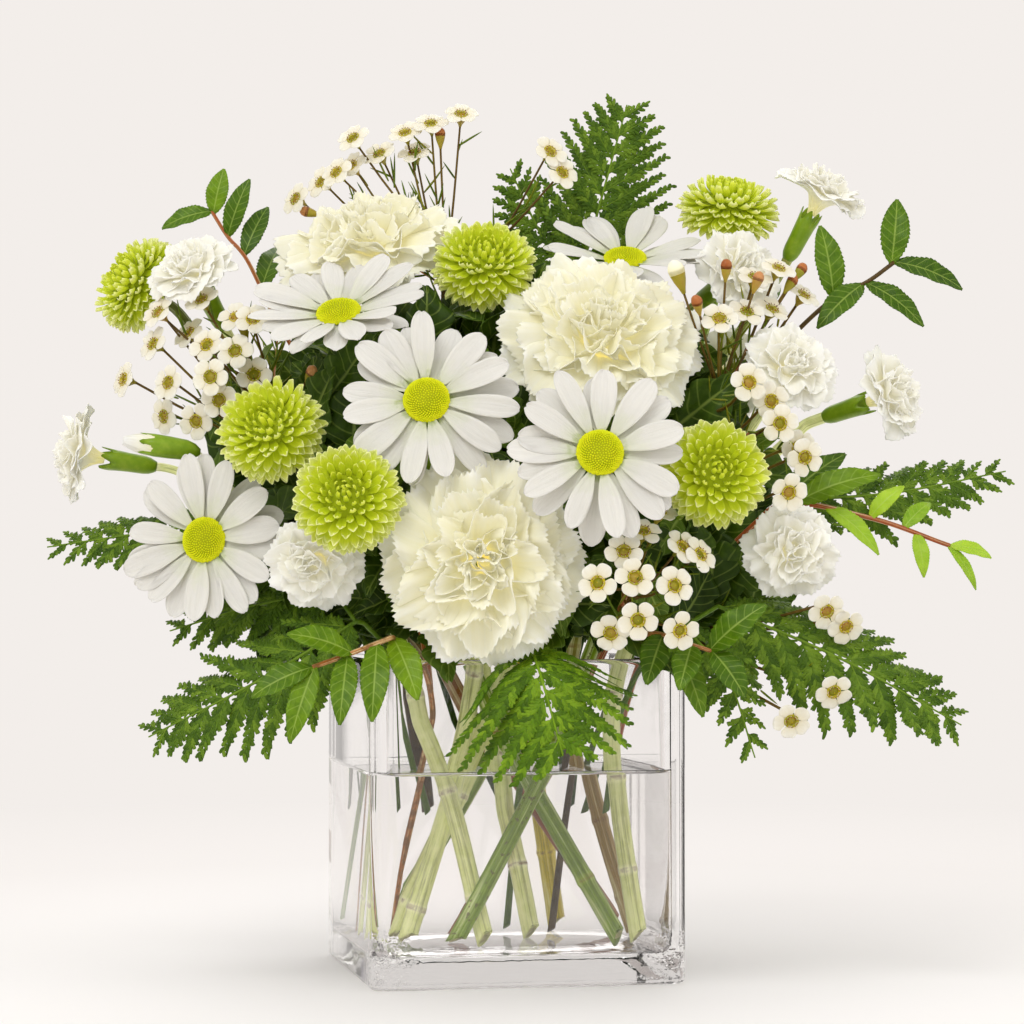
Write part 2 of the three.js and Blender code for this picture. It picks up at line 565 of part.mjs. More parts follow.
// A ring of petals cut from one blade: their rims notched and waved, the ring raised by lift.
// The middle of the ring lies flat, at the given height.
function petalRing({ count, length, lift, rim, wave, height }, draw) {
  const pitch = (2 * Math.PI) / count;
  const start = draw() * pitch;
  const notch = length * 0.34;
  const outline = [];
  for (let i = 0; i < count; i++) {
    const long = length * (0.93 + 0.07 * draw());
    outline.push([notch, start + pitch * (i - 0.5)]);
    for (let k = 0; k < rim; k++) {
      const side = k / (rim - 1) - 0.5;
      const reach = long * (k % 2 ? 1 : 0.92) * (1 - 0.3 * side * side);
      outline.push([reach, start + pitch * (i + 0.84 * side)]);
    }
  }
  const flat = outline.map(([r, angle]) => polar(r, angle, 0)).map(({ x, y }) => [x, y]);
  const place = (x, y) => {
    const r = Math.hypot(x, y);
    const angle = Math.atan2(y, x);
    const out = (r - notch) / (length - notch);
    const rise = lift * (1.1 - 0.2 * out);
    const ruffle = wave * out * Math.abs(out) * Math.sin(angle * Math.round(count * 2.4) + start);
    const along = r - notch;
    return polar(notch * 0.5 + along * Math.cos(rise) - ruffle * Math.sin(rise), angle,
      along * Math.sin(rise) + ruffle * Math.cos(rise));
  };
  return solidOf(blade(flat, place)).translate([0, 0, height]);
}

// Rings of ruffled petals, one inside the other, on a narrow core.
function ruffledHead(kind, rings, seed) {
  const draw = drawer(seed);
  const top = Math.max(...rings.map(({ height }) => height)) + 3;
  const core = rod([V(0, 0, -kind.neck), V(0, 0, top)], [kind.core, kind.core * 0.6], 5);
  return fuse([solidOf(core), ...rings.map((ring) => petalRing(ring, draw))]);
}

const CARNATION_RINGS = [
  { count: 6, length: 52.5, lift: 0.34, rim: 5, wave: 3, height: -22 },
  { count: 5, length: 47, lift: 0.66, rim: 5, wave: 2.4, height: -20.6 },
  { count: 4, length: 37, lift: 1.0, rim: 5, wave: 1.8, height: -19.2 },
  { count: 3, length: 29, lift: 1.3, rim: 5, wave: 1.2, height: -17.8 },
];
const SPRAY_RINGS = [
  { count: 5, length: 27, lift: 0.42, rim: 4, wave: 1.6, height: -11.5 },
  { count: 3, length: 22, lift: 1.0, rim: 4, wave: 1, height: -10.2 },
];

// A button chrysanthemum: a dome of staggered cells, each drawn out to a pointed petal.
const MUM_ROWS = [[6, -14], [12, -12], [15, -7], [14, -2], [10, 1.5], [5.5, 3]];
const MUM_REACH = [6.5, 7, 6, 4.5]; // how far each row's petals stand out
const MUM_CLIMB = [1, 3.5, 5, 5]; // and how far they rise

function mumHead(seed) {
  const draw = drawer(seed);
  const n = MUM.columns;
  const points = MUM_ROWS.flatMap(([r, z], row) =>
    Array.from({ length: n }, (_, i) => polar(r, (2 * Math.PI * (i + row / 2)) / n, z)));
  const at = (row, i) => row * n + ((i + n) % n);
  const faces = [];
  const top = MUM_ROWS.length - 1;
  for (let row = 0; row < top - 1; row++) {
    for (let i = 0; i < n; i++) {
      const cell = [at(row, i + 1), at(row + 1, i + 1), at(row + 2, i), at(row + 1, i)];
      const middle = cell.reduce((sum, k) => sum.addScaledVector(points[k], 0.25), V(0, 0, 0));
      const out = V(middle.x, middle.y, 0).normalize();
      points.push(middle.addScaledVector(out, MUM_REACH[row] * (0.9 + 0.2 * draw())));
      middle.z += MUM_CLIMB[row];
      cell.forEach((k, j) => faces.push([k, cell[(j + 1) % 4], points.length - 1]));
    }
  }
  points.push(V(0, 0, 4.5));
  for (let i = 0; i < n; i++) {
    faces.push([at(0, i), at(0, i + 1), at(1, i)]);
    faces.push([at(top, i + 1), at(top, i), at(top - 1, i + 1)]);
    faces.push([at(top, i), at(top, i + 1), points.length - 1]);
  }
  for (let i = 1; i < n - 1; i++) faces.push([at(0, 0), at(0, i + 1), at(0, i)]);
  return solidOf(geometryFrom(points, faces));
}

const MAKERS = {
  daisy: daisyPetals,
  carnation: (seed) => ruffledHead(CARNATION, CARNATION_RINGS, seed),
  spray: (seed) => ruffledHead(SPRAY, SPRAY_RINGS, seed),
  mum: mumHead,
};
const kindOf = (name) => name.split('_')[0];

// A closed bud on a stalk of its own.
function budOn(run, { base, tip }) {
  const [from, to] = [vec(base), vec(tip)];
  const root = rootOn(run, from.clone().lerp(to, -0.6));
  const line = [root, from, from.clone().lerp(to, 0.25), from.clone().lerp(to, 0.8), to];
  return solidOf(rod(line, [1.3, 1.5, 4.4, 4.8, 1.2], 6));
}

// A flowering plant's stem and branches, each of which widens to the cup under its head.
function plantStem(runs, bud) {
  const solids = bud ? [budOn(runs[bud.on], bud)] : [];
  return fuse(solids.concat(runs.map((run) => {
    const head = HEADS[run.head];
    const { cup, back } = head.kind;
    const neck = neckOf(head, GAP);
    const middle = neck.clone().lerp(neckOf(head, back), 0.6);
    return stemRod(run, [middle, neck], [cup[1], cup[0]]);
  })));
}

// ---------------------------------------------------------------- sprays and foliage

// A wax flower floret: a cup that widens into five blunt petals round a sunk middle, on a twig
// that starts in the stem.
function floret(face, looks, from, thin) {
  const side = looks.clone().cross(V(0.3, 0.2, 1)).normalize();
  const other = looks.clone().cross(side);
  const up = (distance) => face.clone().addScaledVector(looks, distance);
  const ring = (distance) => Array.from({ length: 10 }, (_, k) => {
    const r = (FLORET.across / 2) * (k % 2 ? 0.55 : 1);
    return up(distance).addScaledVector(side, r * Math.cos((Math.PI * k) / 5))
      .addScaledVector(other, r * Math.sin((Math.PI * k) / 5));
  });
  const twig = (centre) => [0, 1, 2].map((k) => centre.clone()
    .addScaledVector(side, thin * Math.cos((2 * Math.PI * k) / 3))
    .addScaledVector(other, thin * Math.sin((2 * Math.PI * k) / 3)));
  const [rim, low, neck, root, sunk] = [0, 10, 20, 23, 26];
  const points = [...ring(0.3), ...ring(-0.6), ...twig(up(-FLORET.cup)), ...twig(from), up(-1.8)];
  const faces = [[root, root + 2, root + 1]];
  for (let k = 0; k < 10; k++) {
    const n = (k + 1) % 10;
    const [a, b] = [neck + Math.floor(k * 0.3), neck + Math.floor(n * 0.3)];
    faces.push([k, n, sunk], [k, low + k, n], [n, low + k, low + n], [low + n, low + k, a]);
    if (a !== b) faces.push([low + n, a, b], [a, a + 3, b], [b, a + 3, b + 3]);
  }
  return solidOf(geometryFrom(points, faces));
}

function waxFlowers(run, { florets, radius }) {
  const centre = run.points[run.points.length - 1];
  const taken = new Set();
  return florets.map((at) => {
    const face = vec(at);
    const looks = face.clone().sub(centre).normalize().add(V(0, -0.55, 0.25)).normalize();
    const cost = (q) => q.distanceTo(face) + 1.2 * Math.max(0, q.z - face.z + 8);
    const free = run.points.filter((p) => !taken.has(p));
    const from = free.reduce((best, p) => (cost(p) < cost(best) ? p : best));
    taken.add(from);
    return floret(face, looks, rootOn(run, from), radius * 0.55);
  });
}

// The comb outline of a fern blade: pairs of slanted leaflets, cut back almost to the rib.
function fernOutline(length, half, pairs) {
  const pitch = length / (pairs + 0.6);
  const side = [];
  for (let i = 0; i < pairs; i++) {
    const from = pitch * (i + 0.1);
    const part = (i + 0.5) / pairs;
    const reach = half * Math.min(1, 0.7 + 1.5 * part) * (1.04 - 0.82 * part * part);
    const peak = [from + 0.25 * pitch + 0.55 * reach, reach];
    side.push([from, 0.8], peak, [from + 0.85 * pitch + 0.2 * reach, 0.42 * reach]);
  }
  return [...side, [length, 0], ...side.map(([a, c]) => [a, -c]).reverse()];
}

function fernBlade({ rib, half, pairs, looks }) {
  const curve = new THREE.CatmullRomCurve3(rib.map(vec));
  const length = curve.getLength();
  const face = vec(looks).normalize();
  const place = (a, c) => {
    const u = THREE.MathUtils.clamp(a / length, 0, 1);
    const along = curve.getTangentAt(u);
    const across = face.clone().cross(along).normalize();
    const up = along.clone().cross(across);
    return curve.getPointAt(u).addScaledVector(along, a - u * length)
      .addScaledVector(across, c).addScaledVector(up, -0.008 * c * c);
  };
  return solidOf(blade(fernOutline(length, half, pairs), place));
}

function fernBlades(run, { blades, radius }) {
  const end = run.points[run.points.length - 1];
  return blades.flatMap((one, i) => {
    const base = vec(one.rib[0]);
    const inward = base.clone().lerp(vec(one.rib[1]), 0.08);
    const thin = radius * 0.8;
    const twig = () => solidOf(rod([end, base, inward], [thin, thin, thin], 4));
    const joint = i ? twig() : stemRod(run, [inward], [thin]);
    return [fernBlade(one), joint];
  });
}

const LEAF = [[0, -0.04], [0.3, -0.46], [0.68, -0.42], [1, 0], [0.68, 0.42], [0.3, 0.46], [0, 0.04]];
const STEM_LEAF_EDGE = [[0, -0.05], [0.5, -0.5], [1, 0], [0.5, 0.5], [0, 0.05]];

function leaf(base, to, width, outline = LEAF, thick = BLADE) {
  const along = to.clone().sub(base);
  const length = along.length();
  along.normalize();
  const across = along.clone().cross(V(0.05, -0.8, 0.6)).normalize();
  const up = across.clone().cross(along);
  const rise = (a, c) => length * 0.4 * a * (1 - a) + width * 0.3 * c * c;
  const place = (a, c) => base.clone().addScaledVector(along, length * a)
    .addScaledVector(across, width * c).addScaledVector(up, rise(a, c));
  return solidOf(blade(outline, place, { thick, mirrored: true }));
}

function sprigLeaves(run, { leaves }) {
  return leaves.map(([from, to, width]) => leaf(rootOn(run, vec(from)), vec(to), width));
}

// A flowering stem's own leaves, at even steps above the vase, each turned on round the stem.
// One that would touch anything else is left out.
const STEM_LEAF = { first: 165, step: 34, length: 36, width: 11, turn: 2.4, each: 2 };

function stemLeaves(runs, others) {
  const { first, step, length, width, turn, each } = STEM_LEAF;
  return runs.flatMap((run, branch) => {
    const kept = [];
    for (let i = 0; kept.length < each && first + i * step < 300; i++) {
      const root = run.points.findIndex((p) => p.z > first + i * step);
      if (root < 2 || root > run.points.length - 9) continue;
      const angle = branch * 1.7 + i * turn;
      const base = rootOn(run, run.points[root]);
      const way = V(Math.cos(angle), Math.sin(angle), 0.75).normalize();
      const tip = base.clone().addScaledVector(way, length);
      const one = leaf(base, tip, width, STEM_LEAF_EDGE);
      const roomy = leaf(base.clone().lerp(tip, 0.15), tip, width + 2, STEM_LEAF_EDGE, 2.4);
      if (others.some((other) => other.intersect(roomy).volume() > 0)) continue;
      kept.push(one);
      others.push(roomy);
    }
    return kept;
  });
}

// ---------------------------------------------------------------- the whole

const centrepiece = new THREE.Group();
centrepiece.add(meshOf('glass_vase', glassVase(), COLOUR.glass, 0.05));
centrepiece.add(meshOf('water', water(), COLOUR.water, 0.05));

const bouquet = new THREE.Group();
bouquet.rotation.z = TURN;
centrepiece.add(bouquet);

const PETALS = { carnation: COLOUR.cream, daisy: COLOUR.white, spray: COLOUR.white, mum: COLOUR.lime };
const solids = new Map();
Object.entries(HEADS).forEach(([name, { at, faces }], i) => {
  const kind = kindOf(name);
  const bloom = placed(MAKERS[kind](11 + 7 * i), at, faces, 1.7 * i);
  solids.set(name + (kind === 'mum' ? '_head' : '_petals'), [bloom, PETALS[kind]]);
  if (kind === 'daisy') solids.set(name + '_disc', [placed(daisyDisc(), at, faces), COLOUR.disc]);
});
for (const [name, runs] of waxRuns) {
  const parts = runs.flatMap((run, i) => [stemRod(run), ...waxFlowers(run, WAX[name][i])]);
  solids.set(name, [fuse(parts), COLOUR.wax]);
}
for (const [name, [run]] of fernRuns) solids.set(name, [fuse(fernBlades(run, FERNS[name])), COLOUR.fern]);
for (const [name, runs] of sprigRuns) {
  const parts = runs.flatMap((run, i) => [stemRod(run), ...sprigLeaves(run, SPRIGS[name][i])]);
  solids.set(name, [fuse(parts), COLOUR.leaf]);
}
const bare = new Map([...plantRuns].map(([name, runs]) => [name, plantStem(runs, PLANTS[name].bud)]));
const leafed = [];
for (const [name, runs] of plantRuns) {
  const others = [...solids.values()].map(([solid]) => solid);
  others.push(...[...bare].filter(([other]) => other !== name).map(([, solid]) => solid));
  others.push(...leafed);
  const stem = fuse([bare.get(name), ...stemLeaves(runs, others)]);
  leafed.push(stem);
  solids.set(name, [stem, COLOUR.stem]);
}
for (const [name, [solid, colour]] of solids) bouquet.add(meshOf(name, solid, colour));

export default centrepiece;
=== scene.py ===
"""The looks of a floral centrepiece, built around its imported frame: petals, leaves, ferns, stems,
water and glass. Sizes in the tables are in millimetres, in the bouquet's own frame: x to the
right, y away from the front, z up."""
import math

import bpy
import numpy as np
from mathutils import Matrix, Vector
from mathutils.bvhtree import BVHTree


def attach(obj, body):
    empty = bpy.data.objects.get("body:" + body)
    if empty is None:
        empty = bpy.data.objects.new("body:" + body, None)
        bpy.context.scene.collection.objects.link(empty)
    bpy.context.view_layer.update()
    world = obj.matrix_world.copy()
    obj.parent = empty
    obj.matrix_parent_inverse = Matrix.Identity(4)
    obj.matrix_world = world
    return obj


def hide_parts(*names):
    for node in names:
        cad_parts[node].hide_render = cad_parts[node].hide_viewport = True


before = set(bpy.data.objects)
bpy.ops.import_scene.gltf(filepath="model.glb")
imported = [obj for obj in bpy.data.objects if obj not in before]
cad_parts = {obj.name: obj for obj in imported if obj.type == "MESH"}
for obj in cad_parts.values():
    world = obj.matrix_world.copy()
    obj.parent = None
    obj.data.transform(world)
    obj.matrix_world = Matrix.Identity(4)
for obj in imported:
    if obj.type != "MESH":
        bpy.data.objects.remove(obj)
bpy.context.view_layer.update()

MM = 0.001
TURN = math.radians(-11.3)  # the bouquet's front, turned from the vase's
COS, SIN = math.cos(TURN), math.sin(TURN)
VASE = {"width": 127, "height": 129, "wall": 5, "floor": 16, "corner": 5.5, "inner_corner": 8}
WATER_LEVEL = 83
SPACING = 5  # between the points of a strand
CLEAR = 2.2  # kept between the skins of two strands
ROUNDS = 140  # of pushing the strands apart
LONGEST_PUSH = 1.5  # in one round
MOUTH = VASE["height"] + 7  # up to here a strand stays inside the vase's walls

# Of each kind of head: its width, the depth from its face to its neck, the radii of the green
# cup below, and the cup's length.
DAISY = {"across": 71, "neck": 0.5, "cup": (7, 2.4), "back": 7}
CARNATION = {"across": 84, "neck": 27, "cup": (8, 6.5), "back": 22}
SPRAY = {"across": 41, "neck": 15, "cup": (4.8, 3.8), "back": 20}
MUM = {"across": 39, "neck": 14, "cup": (6.5, 3), "back": 4}

# Each head: its kind, the middle of its face and the way it faces.
HEADS = {name: {"kind": kind, "at": at, "faces": faces} for name, kind, at, faces in (
    ("carnation_top", CARNATION, [-55, -2, 306], [-0.12, -0.45, 0.88]),
    ("carnation_right", CARNATION, [41, -60, 261], [0.12, -0.8, 0.58]),
    ("carnation_front", CARNATION, [-7, -104, 168], [0, -0.98, 0.05]),
    ("daisy_top_left", DAISY, [-64, -54, 266], [-0.12, -0.6, 0.79]),
    ("daisy_centre", DAISY, [-28, -94, 229], [-0.06, -0.96, 0.26]),
    ("daisy_left", DAISY, [-116, -64, 176], [-0.3, -0.94, 0.1]),
    ("daisy_right", DAISY, [38, -112, 208], [0.06, -0.96, 0.26]),
    ("daisy_top_right", DAISY, [52, 6, 294], [0, -0.5, 0.87]),
    ("daisy_back", DAISY, [-38, 84, 250], [-0.2, 0.88, 0.42]),
    ("mum_far_left", MUM, [-157, 12, 288], [-0.75, -0.4, 0.5]),
    ("mum_top", MUM, [-6, -34, 293], [0.05, -0.7, 0.71]),
    ("mum_left", MUM, [-91, -84, 222], [-0.3, -0.8, 0.5]),
    ("mum_front", MUM, [-58, -114, 193], [-0.05, -0.95, 0.3]),
    ("mum_top_right", MUM, [97, 19, 323], [0.12, -0.3, 0.95]),
    ("mum_right", MUM, [84, -94, 203], [0.15, -0.96, 0.22]),
    ("carnation_back", CARNATION, [8, 78, 268], [0.05, 0.8, 0.6]),
    ("mum_back_left", MUM, [-98, 72, 226], [-0.55, 0.7, 0.45]),
    ("spray_back_right", SPRAY, [104, 62, 252], [0.6, 0.72, 0.35]),
    ("spray_far_right", SPRAY, [164, -8, 238], [0.8, -0.54, 0.26]),
    ("spray_upper_left", SPRAY, [-128, -15, 291], [-0.35, -0.6, 0.7]),
    ("spray_far_left", SPRAY, [-178, -5, 213], [-0.96, -0.2, 0.15]),
    ("spray_low_left", SPRAY, [-72, -86, 166], [-0.2, -0.93, -0.25]),
    ("spray_upper_right", SPRAY, [117, -50, 247], [0.25, -0.85, 0.45]),
    ("mum_back", MUM, [62, 88, 236], [0.35, 0.85, 0.4]),
    ("spray_low_right", SPRAY, [115, -74, 171], [0.25, -0.93, -0.1]),
    ("spray_top_right", SPRAY, [138, 22, 328], [0.45, -0.2, 0.87]),
    ("spray_top", SPRAY, [101, -4, 290], [0.5, -0.8, 0.35]),
    ("spray_back", SPRAY, [8, 96, 206], [0.05, 0.97, 0.2]),
)}

# A flowering plant is one cut stem: its foot on the glass floor, its place in the vase's
# mouth, its radius, its heads, and the heights at which all but the first head fork off.
PLANTS = {
    "carnation_top_stem": dict(foot=[10, -14], mouth=[-8, 2], radius=2.6, heads=["carnation_top"]),
    "carnation_right_stem": dict(foot=[-45, -28], mouth=[6, -12], radius=2.8,
        heads=["carnation_right"]),
    "carnation_front_stem": dict(foot=[-38, -40], mouth=[-6, -36], radius=2.7,
        heads=["carnation_front"]),
    "daisy_left_stem": dict(foot=[46, -40], mouth=[-16, -26], radius=2.5, forks=[150, 165],
        heads=["daisy_top_left", "daisy_centre", "daisy_left"]),
    "daisy_right_stem": dict(foot=[-50, 28], mouth=[14, 8], radius=2.4, forks=[150, 165],
        heads=["daisy_top_right", "daisy_right", "daisy_back"]),
    "carnation_back_stem": dict(foot=[18, 40], mouth=[4, 34], radius=2.6, heads=["carnation_back"]),
    "mum_left_stem": dict(foot=[42, 36], mouth=[-30, 2], radius=2.3, forks=[140, 160, 175],
        heads=["mum_far_left", "mum_left", "mum_front", "mum_back_left"]),
    "mum_right_stem": dict(foot=[-18, -50], mouth=[38, -18], radius=2.4, forks=[145, 165, 180],
        heads=["mum_top_right", "mum_right", "mum_back", "mum_top"]),
    "spray_left_stem": dict(foot=[-7, -45], mouth=[-36, -34], radius=2.5, forks=[142, 160],
        heads=["spray_upper_left", "spray_low_left", "spray_far_left"],
        bud=dict(on=2, base=[-122, -38, 212], tip=[-150, -42, 216])),
    "spray_right_stem": dict(foot=[54, -34], mouth=[44, -30], radius=2.6, forks=[145, 165],
        heads=["spray_far_right", "spray_low_right", "spray_upper_right"]),
    "spray_back_stem": dict(foot=[50, 14], mouth=[24, 24], radius=2.2, forks=[150, 180, 190],
        heads=["spray_top_right", "spray_back", "spray_back_right", "spray_top"]),
}

# Foliage and wax flower have a foot, which may be cut short at a height of its own, a place in
# the mouth, a radius and a route above the mouth. A second branch forks off the first at a height.

# A wax flower's branches also have florets, each as the middle of its face, more of them that
# only this model has, a number of side shoots, and buds.
WAX = {
    "wax_left": [
        dict(foot=[-34, 30, 66], mouth=[-38, -8], radius=1.4, route=[[-70, -18, 190], [-98, -22, 240]],
            florets=[[-140, -20, 270], [-122, -22, 275], [-107, -32, 267], [-118, -40, 255],
                [-115, -55, 241], [-155, -12, 243], [-134, -35, 240]], shoots=7,
            more=[[-142, -20, 257], [-106, -46, 252], [-112, -50, 232], [-141, -14, 271],
                [-137, -24, 227], [-99, -44, 265], [-122, -42, 224], [-128, -14, 262], [-99, -40, 243]],
            buds=[([-76, -44, 243], "copper_bud"), ([-104, -30, 262], "copper_bud")]),
        dict(fork=145, radius=1.2, route=[[-26, 36, 230], [-24, 38, 304]],
            florets=[[-63, 30, 349], [-70, 28, 334], [-52, 35, 343], [-30, 35, 356], [-17, 35, 360],
                [-88, 38, 324], [21, 15, 341]], shoots=5,
            more=[[-41, 35, 352], [-77, 36, 331], [-64, 36, 338], [26, 14, 332], [-37, 38, 344]],
            buds=[([-26, 35, 350], "copper_bud"), ([-82, 38, 318], "copper_bud")])],
    "wax_right": [
        dict(foot=[-20, -18], mouth=[42, -4], radius=1.5, route=[[70, -20, 190], [88, -38, 236]],
            florets=[[87, -58, 264], [97, -80, 237], [109, -80, 221], [119, -76, 208], [112, -84, 194],
                [124, -22, 277], [103, -34, 283]], shoots=7,
            more=[[99, -44, 268], [113, -30, 287], [110, -34, 270], [106, -76, 230], [117, -70, 212],
                [127, -80, 148], [135, -75, 142], [129, -85, 117], [112, -92, 106]],
            buds=[([90, -52, 284], "copper_bud"), ([103, -44, 280], "copper_bud"),
                ([78, -62, 269], "copper_bud"), ([118, -26, 281], "copper_bud"),
                ([122, -24, 286], "copper_bud"), ([71, -48, 282], "spray_petal")]),
        dict(fork=135, radius=1.2, route=[[46, -84, 150], [50, -98, 157]],
            florets=[[37, -118, 159], [51, -120, 161], [66, -117, 158], [52, -120, 145],
                [68, -116, 141], [70, -100, 173]], shoots=3,
            more=[[47, -112, 171], [42, -112, 140], [77, -98, 170], [62, -86, 187], [55, -98, 179]])],
}

# Each fern: its foot, its place in the mouth, a place on its way, and its blades. Of each blade:
# the line of its rib from base to tip, half its width, its pairs of leaflets and the way its upper
# face looks.
FERN_STEM = 1.3
FERNS = {name: {"foot": foot, "mouth": mouth, "radius": FERN_STEM, "route": [route], "blades": [
    {"rib": rib, "half": half, "pairs": pairs, "looks": looks} for rib, half, pairs, looks in blades]}
    for name, foot, mouth, route, blades in (
        ("fern_top", [-1, 12], [8, 36], [22, 34, 230], [
            ([[32, 36, 284], [42, 38, 320], [54, 36, 364]], 27, 7, [0.1, -0.9, 0.4]),
            ([[26, 40, 292], [14, 46, 316], [4, 46, 338]], 15, 5, [0, -0.9, 0.4])]),
        ("fern_right", [30, 30, 64], [50, 6], [84, -16, 172], [
            ([[117, -24, 193], [160, -18, 196], [207, -16, 205]], 18, 7, [0, -0.78, 0.62])]),
        ("fern_low_right", [40, -4, 66], [46, -36], [62, -52, 146], [
            ([[86, -62, 150], [132, -74, 130], [179, -80, 104]], 25, 7, [0.2, -0.82, 0.54]),
            ([[72, -72, 142], [88, -86, 122], [98, -92, 92]], 13, 4, [0.3, -0.9, 0.3])]),
        ("fern_front", [4, -4, 68], [12, -48], [12, -69, 138], [
            ([[12, -79, 134], [16, -108, 123], [24, -115, 94]], 35, 5, [0, -0.9, 0.45])]),
        ("fern_low_left", [-32, -4, 66], [-46, -42], [-50, -66, 142], [
            ([[-56, -76, 144], [-92, -80, 122], [-137, -72, 99]], 25, 7, [-0.2, -0.82, 0.54]),
            ([[-66, -52, 156], [-98, -48, 150], [-132, -44, 140]], 17, 5, [-0.2, -0.7, 0.68])]),
        ("fern_left", [-46, 10, 66], [-50, -4], [-76, -20, 172], [
            ([[-97, -28, 186], [-143, -20, 180], [-186, -12, 174]], 17, 7, [-0.1, -0.75, 0.65])]),
        ("fern_back_left", [-4, 46, 66], [-34, 38], [-50, 60, 170], [
            ([[-64, 76, 190], [-92, 104, 200], [-112, 128, 186]], 24, 7, [-0.3, 0.2, 0.93])]),
        ("fern_back_right", [24, 42, 66], [30, 42], [44, 66, 166], [
            ([[54, 84, 176], [74, 116, 176], [86, 142, 156]], 24, 7, [0.2, 0.3, 0.93])]),
    )}

# A leafy sprig's leaves, each as its base, its tip and its width.
SPRIGS = {
    "sprig_top_right": [
        dict(foot=[18, -8], mouth=[34, 10], radius=1.4,
            route=[[70, 4, 200], [110, -6, 250], [138, -4, 277], [152, -4, 284], [163, -5, 292]],
            leaves=[[[138, -4, 277], [133, 0, 308], 13], [[162, -5, 291], [165, 0, 319], 13],
                [[163, -5, 292], [191, -8, 281], 12], [[151, -4, 284], [174, -14, 265], 11],
                [[150, -5, 283], [130, -16, 264], 12]])],
    "sprig_left": [
        dict(foot=[-48, -20], mouth=[-24, -42], radius=1.4,
            route=[[-32, -76, 141], [-44, -94, 137], [-57, -101, 132], [-71, -104, 127]],
            leaves=[[[-38, -88, 139], [-31, -104, 115], 13], [[-47, -96, 136], [-48, -112, 107], 12],
                [[-58, -101, 132], [-60, -116, 106], 11], [[-70, -104, 127], [-79, -112, 99], 11],
                [[-71, -104, 127], [-94, -108, 116], 12], [[-56, -101, 132], [-80, -110, 140], 13]]),
        dict(fork=122, radius=1.2,
            route=[[-60, 16, 210], [-94, 8, 270], [-107, 6, 296], [-114, 8, 304], [-121, 10, 315]],
            leaves=[[[-120, 10, 314], [-116, 10, 333], 10], [[-114, 8, 304], [-105, 5, 328], 10],
                [[-121, 10, 315], [-142, 10, 308], 10], [[-107, 6, 296], [-98, 16, 318], 10],
                [[-100, 8, 282], [-94, 33, 303], 11]])],
    "sprig_right": [
        dict(foot=[44, 6, 66], mouth=[52, -14], radius=1.4,
            route=[[84, -34, 168], [112, -42, 190], [147, -52, 185], [179, -50, 174]],
            leaves=[[[118, -43, 190], [152, -46, 203], 14], [[112, -42, 189], [140, -30, 212], 13],
                [[130, -47, 188], [150, -60, 172], 9], [[147, -52, 185], [160, -54, 198], 8],
                [[160, -52, 180], [172, -46, 192], 8], [[165, -51, 178], [168, -58, 162], 7],
                [[179, -50, 174], [196, -50, 170], 7], [[178, -50, 174], [190, -52, 157], 5]]),
        dict(fork=128, radius=1.2, route=[[54, -72, 144], [66, -92, 138], [81, -100, 133]],
            leaves=[[[80, -100, 133], [101, -106, 151], 14], [[81, -100, 133], [93, -108, 116], 13],
                [[74, -96, 136], [68, -112, 119], 12], [[60, -85, 140], [56, -104, 121], 13],
                [[66, -92, 138], [78, -98, 108], 12]])],
}

# ------------------------------------------------------------------ lines

def unit(v):
    v = np.asarray(v, float)
    return v / max(np.linalg.norm(v), 1e-9)


def catmull(points, shares):
    """Places on the centripetal curve through points, at shares of its spans."""
    p = np.asarray(points, float)
    spans = len(p) - 1
    padded = np.vstack([2 * p[0] - p[1], p, 2 * p[-1] - p[-2]])
    at = np.clip(np.asarray(shares, float) * spans, 0, spans)
    k = np.minimum(at.astype(int), spans - 1)
    w = (at - k)[:, None]
    a, b, c, d = (padded[k + j] for j in range(4))
    g0, g1, g2 = (np.maximum(np.sum((y - x) ** 2, 1), 1e-16)[:, None] ** 0.25
                  for x, y in ((a, b), (b, c), (c, d)))
    t1 = ((b - a) / g0 - (c - a) / (g0 + g1) + (c - b) / g1) * g1
    t2 = ((c - b) / g1 - (d - b) / (g1 + g2) + (d - c) / g2) * g1
    return b + t1 * w + (3 * (c - b) - 2 * t1 - t2) * w**2 + (2 * (b - c) + t1 + t2) * w**3


def distances(line):
    """How far along a broken line each of its points is."""
    return np.concatenate([[0], np.cumsum(np.linalg.norm(np.diff(line, axis=0), axis=1))])


def evenly(points, count):
    """The curve through points, cut into a number of equal steps."""
    shares = np.linspace(0, 1, 201)
    run = distances(catmull(points, shares))
    return catmull(points, np.interp(np.linspace(0, run[-1], count + 1), run, shares))


def length_of(points):
    return float(np.linalg.norm(np.diff(points, axis=0), axis=1).sum())


def smooth(points):
    fine = catmull(points, np.linspace(0, 1, 201))
    return evenly(points, max(2, int(length_of(fine) / SPACING + 0.5)))


def nearest_on(line, point):
    """The place on a broken line that is nearest to a point."""
    a, b = line[:-1], line[1:]
    along = b - a
    share = np.clip(np.sum((point - a) * along, 1) / np.sum(along**2, 1), 0, 1)
    places = a + share[:, None] * along
    return places[np.argmin(np.linalg.norm(places - point, axis=1))]


# ------------------------------------------------------------------ stems that keep clear

class Strand:
    """A stem or a branch as a line of points. Its foot and its points from one on don't move."""

    def __init__(self, owner, points, radius, first_held, join, head=None):
        self.owner, self.points, self.radius = owner, points, radius
        self.join, self.head = join, head
        self.held = np.arange(len(points)) >= first_held
        self.held[0] = True


def neck_of(head, distance=0):
    """The place behind a head where its petals end, or one that is further back."""
    return np.array(head["at"], float) - unit(head["faces"]) * (head["kind"]["neck"] + distance)


def fork_of(main, height):
    """Where a branch leaves the main strand, and the branch's first two points."""
    at = int(np.argmax(main.points[:, 2] > height))
    here, ahead = main.points[at], main.points[at + 2]
    return (main, at), [here, here + 0.8 * (ahead - here)]


